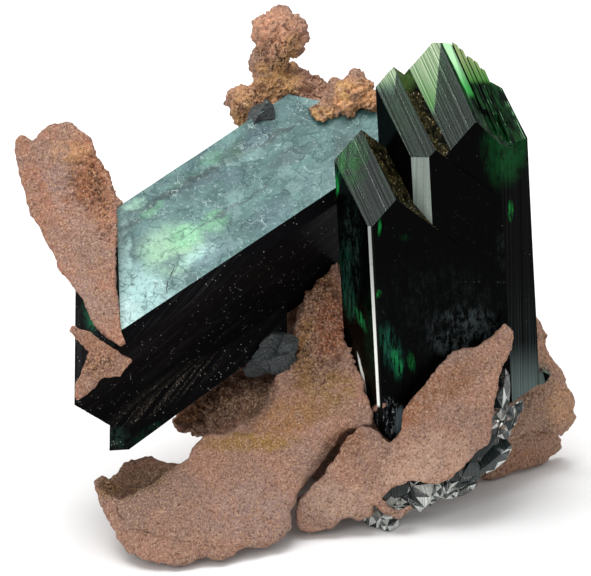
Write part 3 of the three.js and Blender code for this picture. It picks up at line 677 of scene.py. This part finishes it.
def bevel_strip_material():
    """The narrow bevel: a bright reflection, grey above and white below, beside the black face."""
    s = Shader("bright bevel strip")
    tone = s.mix(s.step(s.down, *STRIP_TONES), STRIP_GREY, STRIP_WHITE)
    tone = s.mix(s.step(s.noise(1400, 4, 0.8), 0.38, 0.30), tone, STRIP_SPOT)
    edge = s.side(*STRIP_EDGE, 0.4)
    tone = s.mix(edge, tone, BLACK_GLASS)
    tone = s.mix(s.step(s.down, *STRIP_FOOT), tone, BLACK_GLASS)
    return s.coated(tone, 0.35, 0.05)


END_GREEN = (0.02, 0.20, 0.08)
GREY_GREEN = (0.018, 0.045, 0.032)
LOW_GREEN = (0.006, 0.035, 0.016)
SIDE_BLACK = (0.0028, 0.0028, 0.0034)
SIDE_LINE = (0.015, 0.015, 0.016)
BROWN_DUST = (0.13, 0.105, 0.08)
SPECK_WHITE = (0.55, 0.54, 0.47)

# Light inside the long crystal's dark sides: ellipse on the sheet, colour, strength.
SIDE_LIGHT = [
    ((91, 317, 9, 22, -15), TEAL, 0.9),
    ((92, 322, 4, 9, -20), END_GREEN, 0.9),
    ((118, 438, 16, 14, 0), GREY_GREEN, 0.9),
    ((150, 432, 26, 8, -35), LOW_GREEN, 0.8),
]

# Ellipses of the sheet: the plain black part beside the tall crystals, and the dusty lower edge
PLAIN_END = (315, 225, 60, 44, -35)
DUSTY_EDGE = (165, 392, 90, 16, -33, 0.1)


def dusty_face_material(name, lights, sparse):
    """The sides of the long crystal: black and lined along its length, with dust specks."""
    s = Shader(name, wobble=2)
    furrows = s.stripes(ACROSS_LONG, 1900, 5)
    worn = s.step(s.noise(300, 4, 0.7, LONG_WAY, 4.0), 0.42, 0.66)
    lined = s.times(s.step(furrows, 0.44, 0.68), worn)
    lined = s.times(lined, s.without(s.spot(*PLAIN_END)))
    colour = s.mix(lined, SIDE_BLACK, SIDE_LINE)
    broken = s.times(s.step(furrows, 0.42, 0.62), s.step(s.noise(3600, 4, 0.9), 0.50, 0.60))
    colour = s.mix(s.times(s.spot(*DUSTY_EDGE), broken), colour, BROWN_DUST)
    colour = s.paint(colour, lights, s.step(s.noise(1200, 4, 0.8), 0.38, 0.60), 0.0)
    colour = s.mix(s.specks(1700, 0.14, sparse), colour, SPECK_WHITE)
    return s.coated(colour, 0.36, 0.03, s.bump(furrows, 0.1 * MM, 0.25))


BRIGHT_PEARL = (0.44, 0.70, 0.68)
ICE = (0.62, 0.86, 0.84)
LIME_PEARL = (0.36, 0.62, 0.40)
LEAF_GREEN = (0.13, 0.42, 0.17)
SLATE_BLUE = (0.09, 0.16, 0.185)
DARK_SLATE = (0.05, 0.085, 0.085)
DEEP_GREEN = (0.03, 0.12, 0.055)
FRESH_GREEN = (0.25, 0.57, 0.33)
PALE_GREEN = (0.34, 0.60, 0.46)
MOSS_GREEN = (0.15, 0.38, 0.22)
CORNER_SLATE = (0.045, 0.10, 0.095)
PALE_SLATE = (0.10, 0.20, 0.20)
SHADE_GREEN = (0.035, 0.09, 0.065)
DEEP_BLUE = (0.035, 0.08, 0.10)
SHADE_SLATE = (0.05, 0.095, 0.10)
SHADE_BLUE = (0.055, 0.105, 0.115)
SEAM_DARK = (0.022, 0.05, 0.05)
SOFT_SLATE = (0.13, 0.23, 0.23)
PEARL_DARK = (0.042, 0.108, 0.108)
PEARL_MIDDLE = (0.115, 0.235, 0.222)
FLAKE_DARK = (0.05, 0.10, 0.105)
FLAKE_LIGHT = (0.55, 0.78, 0.76)
FLAKE_RIM = (0.035, 0.07, 0.075)
PEARL_SHINE = (0.70, 0.90, 0.86)
PEARL_GLINT = (0.72, 0.90, 0.86)
MOTTLE_DARK = (0.045, 0.09, 0.09)
CRACK_BLACK = (0.01, 0.02, 0.02)

# Clouds on the pearly face, some in part painted shade: ellipse on the sheet, colour, strength.
PEARL_CLOUDS = [
    ((140, 304, 42, 52, 0), BRIGHT_PEARL, 0.82),
    ((128, 322, 24, 34, -20), ICE, 0.65),
    ((124, 250, 9, 40, 0), BRIGHT_PEARL, 0.8),
    ((172, 250, 40, 34, -20), LIME_PEARL, 0.75),
    ((200, 257, 26, 12, -28), BRIGHT_PEARL, 0.6),
    ((186, 236, 24, 16, -10), FRESH_GREEN, 0.9),
    ((136, 206, 16, 8, -30), PALE_GREEN, 0.9),
    ((152, 210, 18, 8, -30), MOSS_GREEN, 0.85),
    ((215, 222, 20, 14, -25), LEAF_GREEN, 0.6),
    ((212, 158, 18, 7, -32), LEAF_GREEN, 0.25),
    ((245, 145, 20, 9, -32), DEEP_GREEN, 0.7),
    ((185, 183, 40, 5, -32), DEEP_GREEN, 0.7),
    ((208, 178, 22, 8, -25), SLATE_BLUE, 0.85),
    ((232, 178, 16, 12, 0), SLATE_BLUE, 0.8),
    ((172, 263, 18, 8, -20), SLATE_BLUE, 0.7),
    ((215, 256, 34, 9, -32), SLATE_BLUE, 0.7),
    # In part painted shade: the corner below the knobs and the tall crystals is darkened
    ((262, 128, 24, 18, 0), CORNER_SLATE, 0.9),
    ((285, 108, 22, 10, -40), PALE_SLATE, 0.8),
    ((234, 152, 26, 10, -30), SHADE_GREEN, 0.9),
    ((256, 138, 24, 13, -30), DEEP_BLUE, 1.0),
    ((290, 157, 34, 9, -32), SHADE_SLATE, 0.85),
    ((200, 180, 46, 9, -30), SHADE_BLUE, 0.85),
    ((178, 189, 74, 3.2, -29), SEAM_DARK, 1.0),
    ((276, 135, 44, 3.2, -31), SEAM_DARK, 1.0),
    ((235, 206, 70, 2.2, -32), DARK_SLATE, 0.8),
    ((275, 215, 30, 20, -30), SLATE_BLUE, 0.6),
    ((320, 180, 28, 22, -30), SOFT_SLATE, 0.8),
    # In part painted shade beside the tall crystals
    ((352, 150, 26, 20, -30), DARK_SLATE, 0.7),
    ((130, 226, 18, 5, -25), DARK_SLATE, 0.7),
]

# The two ends of a dark crack in the pearly face
CRACK_FOOT = (170, 287, 1.0, 9, 2)
CRACK_HEAD = (173, 272, 1.0, 7, 12)

# How many flakes and glinting cracks come to a metre, and how far their edges are bent
FLAKES = 340
GLINTS = 520
BEND = Vector((3.2, 3.2, 3.2)) * MM


def pearly_face_material():
    """The broad cleavage face: cloudy blue-green, with thin flakes, crackle lines and glints."""
    s = Shader("pearly cleavage face", wobble=9)
    clouds = s.step(s.noise(240, 4, 0.7, LONG_WAY, 1.6), 0.36, 0.64)
    colour = s.mix(clouds, PEARL_DARK, PEARL_MIDDLE)
    colour = s.paint(colour, PEARL_CLOUDS, s.step(s.noise(560, 4, 0.75), 0.22, 0.50))
    bend = s.tree.nodes.new("ShaderNodeTexNoise")
    bend.inputs["Scale"].default_value = 420
    s.put(bend.inputs["Vector"], s.place)
    bent = s.vector("ADD", s.place, s.vector("MULTIPLY", bend.outputs["Color"], BEND))
    flake = s.tree.nodes.new("ShaderNodeSeparateColor")
    s.put(flake.inputs[0], s.cells(FLAKES, "Color", "F1", bent))
    dull = s.times(s.step(flake.outputs[0], 0.45, 1.0), 0.28)
    colour = s.mix(dull, colour, FLAKE_DARK)
    light = s.times(s.step(flake.outputs[1], 0.6, 1.0), 0.13)
    colour = s.mix(light, colour, FLAKE_LIGHT)
    rim = s.step(s.cells(FLAKES, "Distance", "DISTANCE_TO_EDGE", bent), 0.045, 0.012)
    rim = s.times(rim, s.step(s.noise(300, 3), 0.44, 0.60))
    colour = s.mix(s.times(rim, 0.5), colour, FLAKE_RIM)
    shine = s.step(s.cells(GLINTS, "Distance", "DISTANCE_TO_EDGE", bent), 0.03, 0.006)
    shine = s.times(shine, s.step(s.noise(260, 3, 0.6), 0.53, 0.62))
    colour = s.mix(s.times(shine, 0.4), colour, PEARL_SHINE)
    mottled = s.noise(1500, 4, 0.8)
    colour = s.mix(s.times(s.step(mottled, 0.50, 0.34), 0.6), colour, MOTTLE_DARK)
    glint = s.step(s.noise(2100, 3, 0.75), 0.56, 0.70)
    colour = s.mix(s.times(glint, 0.3), colour, PEARL_GLINT)
    crack = s.either(s.spot(*CRACK_FOOT), s.spot(*CRACK_HEAD))
    colour = s.mix(crack, colour, CRACK_BLACK)
    flat = s.bump(mottled, 0.12 * MM, 0.6)
    return s.coated(colour, 0.34, 0.22, s.bump(rim, 0.1 * MM, 0.5, flat))


# A grey painted reflection on the middle crystal's bevel
BEVEL_REFLECTION_GREY = (0.235, 0.285, 0.25)
# White painted glints and black painted shade on the small clear facets
GLINT_FACET_WHITE = (0.80, 0.84, 0.80)
SHADE_FACET_BLACK = (0.03, 0.045, 0.045)


def facet_material(name, colour, rough, contrast=0.45, specular=0.5):
    """A single facet: one tone with faint upright furrows and dust."""
    s = Shader(name)
    dull = tuple(contrast * c for c in colour)
    furrows = s.stripes(ACROSS_RIDGES, 4200, 3)
    shade = s.mix(s.step(furrows, 0.40, 0.60), dull, colour)
    dust = s.step(s.noise(1900, 4, 0.75), 0.56, 0.42)
    shade = s.mix(s.times(dust, 0.5), shade, dull)
    return s.coated(shade, rough, specular, s.bump(s.noise(1800, 3), 0.08 * MM, 0.5))


# Tones of small grains: dark, pale and bright
DUSTY_GREYS = (0.026, 0.032, 0.034), (0.10, 0.11, 0.112), (0.24, 0.21, 0.15)
GRANULAR_GREYS = (0.035, 0.045, 0.045), (0.27, 0.31, 0.29), (0.85, 0.88, 0.84)


def granular_material(name, dark, pale, bright):
    """Small grey grains too fine to tell apart."""
    s = Shader(name)
    grain = s.noise(2600, 4, 0.85)
    colour = s.mix(s.step(grain, 0.40, 0.60), dark, pale)
    colour = s.mix(s.specks(2300, 0.22, 0.46), colour, bright)
    return s.coated(colour, 0.5, 0.3, s.bump(grain, 0.4 * MM, 0.9))


DRUSE_BODY = (0.60, 0.82, 0.74)
DRUSE_DENSITY = 60.0
DRUSE_SURFACE = (0.97, 1.0, 0.98, 1.0)


def clear_druse_material():
    """The clear crystals of the druse: see-through and nearly without colour."""
    s = Shader("clear small crystals")
    crystal_body(s, DRUSE_BODY, DRUSE_DENSITY, 1.58, 0.02)
    s.set("Base Color", DRUSE_SURFACE)
    s.set("Normal", s.bump(s.noise(1400, 3), 0.05 * MM, 0.4))
    return s.material


# Meshes

MERGE_SLACK = 0.002 * MM
FLAT_WITHIN = math.radians(0.6)


def piece(name, mesh, node, slot, *materials):
    """A mesh as a piece of the model, in place of one CAD node."""
    obj = bpy.data.objects.new(name, mesh)
    bpy.context.scene.collection.objects.link(obj)
    for material in materials:
        mesh.materials.append(material)
    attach(obj, "root")
    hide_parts(node)
    return obj


def copied(node):
    """A bmesh of a CAD node with its doubles merged."""
    bm = bmesh.new()
    bm.from_mesh(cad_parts[node].data)
    bmesh.ops.remove_doubles(bm, verts=bm.verts, dist=MERGE_SLACK)
    return bm


def faceted(node):
    """The same bmesh with its flat faces whole again."""
    bm = copied(node)
    bmesh.ops.dissolve_limit(bm, angle_limit=FLAT_WITHIN, verts=bm.verts, edges=bm.edges)
    return bm


def finished(bm, name):
    """The mesh of a bmesh, which is freed."""
    mesh = bpy.data.meshes.new(name)
    bm.to_mesh(mesh)
    bm.free()
    return mesh


def remeshed(node, voxel):
    """The node's shape as an even net of small faces."""
    mesh = finished(copied(node), node + " net")
    obj = bpy.data.objects.new(node + " net", mesh)
    bpy.context.scene.collection.objects.link(obj)
    net = obj.modifiers.new("net", "REMESH")
    net.mode = "VOXEL"
    net.voxel_size = voxel
    net.use_smooth_shade = True
    shape = bpy.data.meshes.new_from_object(obj.evaluated_get(bpy.context.evaluated_depsgraph_get()))
    bpy.data.objects.remove(obj)
    return shape


def refined(mesh, places):
    """The net made twice as fine inside some balls, each a centre and a radius."""
    bm = bmesh.new()
    bm.from_mesh(mesh)
    edges = []
    for edge in bm.edges:
        middle = (edge.verts[0].co + edge.verts[1].co) / 2
        if any((middle - centre).length < radius for centre, radius in places):
            edges.append(edge)
    bmesh.ops.subdivide_edges(bm, edges=edges, cuts=1, use_grid_fill=True)
    bm.to_mesh(mesh)
    bm.free()


# Waves of the crust: cells to a metre, and height in millimetres
EVEN_WAVES = [(260, 0.22), (640, 0.30), (1500, 0.30)]
WILD_WAVES = [(190, 1.1), (420, 0.8)]
WILD_BLEND = 8 * MM
WILD_POROUS = 0.36
POROUS_GAIN = 2.5

# Pits, lumps and veins of the porous parts. A pit reaches over this share of its cell.
PITS = 1500
PIT_REACH = 0.38
PIT_DEPTH = 0.6
LUMPS = 620
LUMP_HEIGHT = 0.7
VEINS = 1300
VEIN_WIDTH = 0.08
VEIN_HEIGHT = 0.9


def waves(p, table):
    """The height of waves of several sizes at a point."""
    return sum(height * noise.noise(p * scale) for scale, height in table)


def crease_depth(p, creases):
    """How deep the creases are at a point. A crease is the points along it, width and depth."""
    depth = 0.0
    for points, width, deep in creases:
        for a, b in zip(points, points[1:]):
            way = b - a
            share = max(0.0, min(1.0, (p - a).dot(way) / way.length_squared))
            off = (p - a - way * share).length / width
            if off < 1.0:
                depth = max(depth, deep * (1.0 - off) ** 2)
    return depth


def roughen(mesh, strength, porous, creases, wild_from=None):
    """Waves, pits and creases of crust, worked into the net, which is wilder behind wild_from."""
    mesh.update()
    normals = [v.normal.copy() for v in mesh.vertices]
    for vertex, normal in zip(mesh.vertices, normals):
        p = vertex.co
        move = waves(p, EVEN_WAVES)
        extra = 0.0
        for centre, radius in porous:
            extra = max(extra, 1.0 - (p - centre).length / radius)
        if wild_from is not None and p.y > wild_from:
            wild = min(1.0, (p.y - wild_from) / WILD_BLEND)
            extra = max(extra, WILD_POROUS * wild)
            move += wild * waves(p, WILD_WAVES)
        share = min(1.0, POROUS_GAIN * extra)
        hole = 0.0
        if share > 0.02:
            near = noise.voronoi(p * PITS)[0][0]
            hole = share * PIT_DEPTH * max(0.0, PIT_REACH - near) / PIT_REACH
            vein = VEIN_HEIGHT * (VEIN_WIDTH - abs(noise.noise(p * VEINS)))
            move += share * (LUMP_HEIGHT * noise.noise(p * LUMPS) + vein)
        hole += crease_depth(p, creases)
        vertex.co = p + normal * (move * strength - hole) * MM
        vertex.co.z = max(vertex.co.z, 0.0)
    mesh.update()


def rock(name, node, voxel, strength, material, porous=(), creases=(), wild_from=None):
    """A piece of crust: a fine net of its node, roughened."""
    mesh = remeshed(node, voxel)
    if porous:
        refined(mesh, porous)
    roughen(mesh, strength, porous, creases, wild_from)
    return piece(name, mesh, node, "crust", material)


CUT_SLACK = 0.0001 * MM


def furrowed(bm, way, gap, depth, seed):
    """Fine furrows: cuts across a direction, whose edges are moved in or out a little."""
    draw = random.Random(seed)
    place = min(v.co.dot(way) for v in bm.verts)
    end = max(v.co.dot(way) for v in bm.verts)
    moves = []
    while place < end:
        parts = bm.verts[:] + bm.edges[:] + bm.faces[:]
        cut = bmesh.ops.bisect_plane(bm, geom=parts, plane_co=way * place, plane_no=way, dist=CUT_SLACK)
        move = draw.uniform(-depth, depth)
        moves += [(part, move) for part in cut["geom_cut"] if isinstance(part, bmesh.types.BMVert)]
        place += gap * draw.uniform(0.5, 1.6)
    bm.normal_update()
    for vertex, move in moves:
        vertex.co += vertex.normal * move


# Pieces of crust

# Balls in which the core is porous, each a centre and a radius: six in the knobs, two in the
# pillar, two in the wall below the long crystal.
POROUS = [
    (seen(278, 60, -18), 0.0115), (seen(280, 36, -18), 0.008), (seen(300, 98, -18), 0.009),
    (seen(248, 106, -19), 0.006), (seen(350, 102, -15), 0.0075), (seen(322, 116, -14), 0.005),
    (seen(322, 300, -13), 0.009), (seen(312, 345, -12), 0.009), (seen(215, 405, -17), 0.010),
    (seen(250, 385, -18), 0.007),
]
TONGUE_POROUS = [(seen(96, 180, -1), 0.0065), (seen(112, 240, 1), 0.003)]

# The crease along the shell's rim: the points along it, its width, and its depth in millimetres
SHELL_LINE = [
    seen(115, 500, -0.4), seen(130, 522, 1.5), seen(145, 531, 2.0), seen(165, 537, 2.2),
    seen(190, 547, 1.8),
]
SHELL_CREASES = [(SHELL_LINE, 0.8 * MM, 0.45)]

# How wide the cells of the nets are, and how far back the core's wilder part begins
CORE_CELL = 0.5 * MM
PLATE_CELL = 0.3 * MM
RIGHT_CELL = 0.28 * MM
SMALL_CELL = 0.25 * MM
CORE_WILD_FROM = 8 * MM

crust = crust_material("sandy crust", PINK_BROWN, MAUVE_BROWN, CORE_PATCHES, COARSE_CORE)
tongue_crust = crust_material("pitted pink crust", TONGUE_PINK, MAUVE_BROWN, TONGUE_PATCHES,
                               COARSE_TONGUE)
right_crust = crust_material("brown crust", RIGHT_BROWN, RIGHT_MAUVE, RIGHT_PATCHES)

rock("crust-core", "crust_core", CORE_CELL, 1.0, crust, POROUS, SHELL_CREASES, CORE_WILD_FROM)
rock("front-plate", "front_plate", PLATE_CELL, 0.8, crust)
rock("right-plate", "right_plate", RIGHT_CELL, 0.8, right_crust)
rock("right-ledge", "right_ledge", RIGHT_CELL, 0.8, right_crust)
rock("tongue-plate", "tongue_plate", PLATE_CELL, 0.8, tongue_crust, TONGUE_POROUS)
rock("left-end-crust", "left_end_crust", SMALL_CELL, 0.7, tongue_crust)

# Tall crystals

STRIATED, FRONT, RIGHT_END, STRIP, BEVEL, GROOVE, SHOULDER = range(7)
FURROW_DEPTH = 0.03 * MM
TALL_FURROWS = 0.42 * MM
LONG_FURROWS = 0.7 * MM

# Across the sheet: the right ends of the strip and of the grooves, and the shoulder's left end
STRIP_END = 390
GROOVES_END = 452
SHOULDER_START = 436

# The lean of a face, as the share of its normal that points up or right: a roof, and a groove
ROOF_LEAN = 0.25
GROOVE_LEAN = 0.35

# The share that points to the front: less than this at the back, and between these on a bevel.
# A face at the back that looks to the left, further than this, has the finish of the front.
BACK_SHARE = 0.1
BEVEL_SHARES = (0.3, 0.97)
LEFT_SHARE = -0.8


def right_of(line, place):
    """How far a place on the sheet lies to the right of a line."""
    (x0, y0), (x1, y1) = line
    return place[0] - x0 - (x1 - x0) * (place[1] - y0) / (y1 - y0)


def cut_along(bm, line, faces):
    """Cuts faces along a line of the sheet."""
    start, end = (seen(*point, 0) for point in line)
    parts = {part for face in faces for part in [face, *face.edges, *face.verts]}
    bmesh.ops.bisect_plane(bm, geom=list(parts), plane_co=start,
                           plane_no=(end - start).cross(BACK_WAY).normalized(), dist=CUT_SLACK)


def tall_face_kind(face):
    """The finish of a face, by the way it looks and where it is."""
    n = face.normal
    place = on_sheet(face.calc_center_median())
    if n.z < -ROOF_LEAN:
        return FRONT
    if n.z > ROOF_LEAN:
        if n.x > GROOVE_LEAN:
            return GROOVE if place[0] < GROOVES_END else SHOULDER
        if right_of(GROOVE_LEFT, place) > 0 > right_of(GROOVE_RIGHT, place):
            return GROOVE
        beyond_ridge = place[0] > SHOULDER_START and right_of(APEX_RIDGE, place) > 0
        return SHOULDER if beyond_ridge else STRIATED
    front = n.dot(FRONT_WAY)
    if front < BACK_SHARE and n.x > LEFT_SHARE:
        return STRIATED
    if BEVEL_SHARES[0] < front < BEVEL_SHARES[1]:
        if n.x > 0:
            return RIGHT_END
        return STRIP if place[0] < STRIP_END else BEVEL
    return FRONT


bm = faceted("tall_crystals")
for line in (GROOVE_LEFT, GROOVE_RIGHT, APEX_RIDGE):
    cut_along(bm, line, [face for face in bm.faces if face.normal.z > ROOF_LEAN])
for face in bm.faces:
    face.material_index = tall_face_kind(face)
furrowed(bm, ACROSS_RIDGES, TALL_FURROWS, FURROW_DEPTH, seed=5)
piece("tall-crystals", finished(bm, "tall crystals"), "tall_crystals", "dark_crystal",
      striated_crystal_material(), front_face_material(), right_face_material(), bevel_strip_material(),
      facet_material("grey bevel facet of painted reflection", BEVEL_REFLECTION_GREY, 0.25, 0.72), groove_material(),
      shoulder_material())

# Long crystal, with the small grey crystals on its far edge

PEARLY, DUSTY, DUSTY_BACK, GREY = range(4)
GREY_PATCH = seen(262, 112, -15.5)
GREY_REACH = 4.5 * MM
PEARL_SHARE = 0.97


def long_face_kind(face):
    """The finish of a face: pearly on top, grey on the small crystals, dusty elsewhere."""
    if face.normal.dot(PEARL_WAY) > PEARL_SHARE:
        return PEARLY
    if (face.calc_center_median() - GREY_PATCH).length < GREY_REACH:
        return GREY
    return DUSTY if face.normal.dot(BACK_WAY) > 0 else DUSTY_BACK


grey = granular_material("dusty grey crystals", *DUSTY_GREYS)
bm = faceted("long_crystal")
for face in bm.faces:
    face.material_index = long_face_kind(face)
furrowed(bm, ACROSS_LONG, LONG_FURROWS, FURROW_DEPTH, seed=9)
piece("long-crystal", finished(bm, "long crystal"), "long_crystal", "pearly_crystal",
      pearly_face_material(), dusty_face_material("dusty dark face", SIDE_LIGHT, 0.45),
      dusty_face_material("dusty back face", [], 0.57), grey)

# Small crystals

piece("knot-crystals", finished(copied("knot_crystals"), "knot crystals"), "knot_crystals",
      "grey_crystal", grey)

# Faces of the druse: clear, white with a painted glint, black with painted shade, and grain
CLEAR, PAINTED_GLINT, PAINTED_SHADE, GRANULAR = range(4)
TALLEST_POINT = 0.35 * MM

# A small patch of fine grains: across, down, wide, high.
GRANULAR_PATCH = (500, 396, 4, 6)

# Zones of the sheet: across, down, wide, high, and how often clear faces, faces of painted glint
# and faces of painted shade come.
DRUSE_ZONES = [
    # Painted shade in the hollows under the front plate, and painted glints on the crystals below them
    (476, 462, 24, 24, (1, 0.3, 7)),
    (396, 490, 17, 8, (1, 0.6, 6)),
    (392, 502, 13, 5, (0.5, 8, 0.3)),
    (380, 516, 11, 7, (0.5, 8, 0.3)),
    (510, 422, 13, 19, (4, 1, 3)),
    (505, 384, 16, 18, (3, 0.2, 5)),
    (520, 407, 4, 6, (1, 0, 2)),
]
DRUSE_ELSEWHERE = (4, 2.5, 2.5)


def within(place, across, down, wide, high):
    """Whether a place on the sheet lies inside a box, given by its middle and half its size."""
    return abs(place[0] - across) < wide and abs(place[1] - down) < high


bm = faceted("clear_druse")
draw = random.Random(4)
for face in bm.faces[:]:
    bmesh.ops.poke(bm, faces=[face], offset=draw.uniform(0.0, TALLEST_POINT), center_mode="MEAN")
for vertex in bm.verts:
    vertex.co.z = max(vertex.co.z, 0.0)
for face in bm.faces:
    place = on_sheet(face.calc_center_median())
    odds = DRUSE_ELSEWHERE
    for *box, zone_odds in DRUSE_ZONES:
        if within(place, *box):
            odds = zone_odds
    face.material_index = draw.choices((CLEAR, PAINTED_GLINT, PAINTED_SHADE), odds)[0]
    if within(place, *GRANULAR_PATCH):
        face.material_index = GRANULAR
piece("clear-druse", finished(bm, "clear druse"), "clear_druse", "clear_crystal",
      clear_druse_material(),
      facet_material("small facet of painted glint", GLINT_FACET_WHITE, 0.12, 0.55),
      facet_material("small facet of painted shade", SHADE_FACET_BLACK, 0.08, 0.4),
      granular_material("grey granular crystals", *GRANULAR_GREYS))


# Floor, light and camera

FLOOR_SIZE = 6.0
FLOOR_SHADE = 0.93
FLOOR_GAP = 0.2 * MM


def floor_plane(size, shade):
    """A matt floor just below the specimen."""
    bm = bmesh.new()
    bmesh.ops.create_grid(bm, x_segments=1, y_segments=1, size=size / 2)
    obj = bpy.data.objects.new("floor", finished(bm, "floor"))
    obj.location = (0, 0, -FLOOR_GAP)
    bpy.context.scene.collection.objects.link(obj)
    s = Shader("pale floor")
    obj.data.materials.append(s.coated((shade, shade, shade, 1.0), 0.9, 0.0))


floor_plane(FLOOR_SIZE, FLOOR_SHADE)
LIT_PLACE = Vector((0, 0, 0.03))


def softbox(name, place, size, power):
    """A square light that looks at the middle of the specimen."""
    light = bpy.data.lights.new(name, "AREA")
    light.shape = "SQUARE"
    light.size = size
    light.energy = power
    obj = bpy.data.objects.new(name, light)
    obj.location = place
    obj.rotation_euler = (LIT_PLACE - Vector(place)).to_track_quat("-Z", "Y").to_euler()
    bpy.context.scene.collection.objects.link(obj)


softbox("overhead softbox", (-0.15, 0.05, 0.75), 0.55, 5.0)
softbox("front fill", (-0.5, -0.9, 0.7), 0.5, 2.5)

ROOM_LIGHT = 0.6
world = bpy.data.worlds.new("white room")
bpy.context.scene.world = world
world.use_nodes = True
world.node_tree.nodes["Background"].inputs[0].default_value = (1, 1, 1, 1)
world.node_tree.nodes["Background"].inputs[1].default_value = ROOM_LIGHT

IMAGE_WIDTH = 591
IMAGE_HEIGHT = 576
DISTANCE = 2.5
SENSOR = 36.0
AIM_TOWARD = -12
camera_data = bpy.data.cameras.new("camera")
camera_data.sensor_width = SENSOR
camera_data.lens = SENSOR * DISTANCE / (IMAGE_WIDTH * SHEET_UNIT * MM)
camera = bpy.data.objects.new("camera", camera_data)
target = seen(IMAGE_WIDTH / 2, IMAGE_HEIGHT / 2, AIM_TOWARD)
camera.location = target + BACK_WAY * DISTANCE
camera.rotation_euler = (-BACK_WAY).to_track_quat("-Z", "Y").to_euler()
bpy.context.scene.collection.objects.link(camera)
bpy.context.scene.camera = camera
bpy.context.scene.view_settings.view_transform = "Standard"
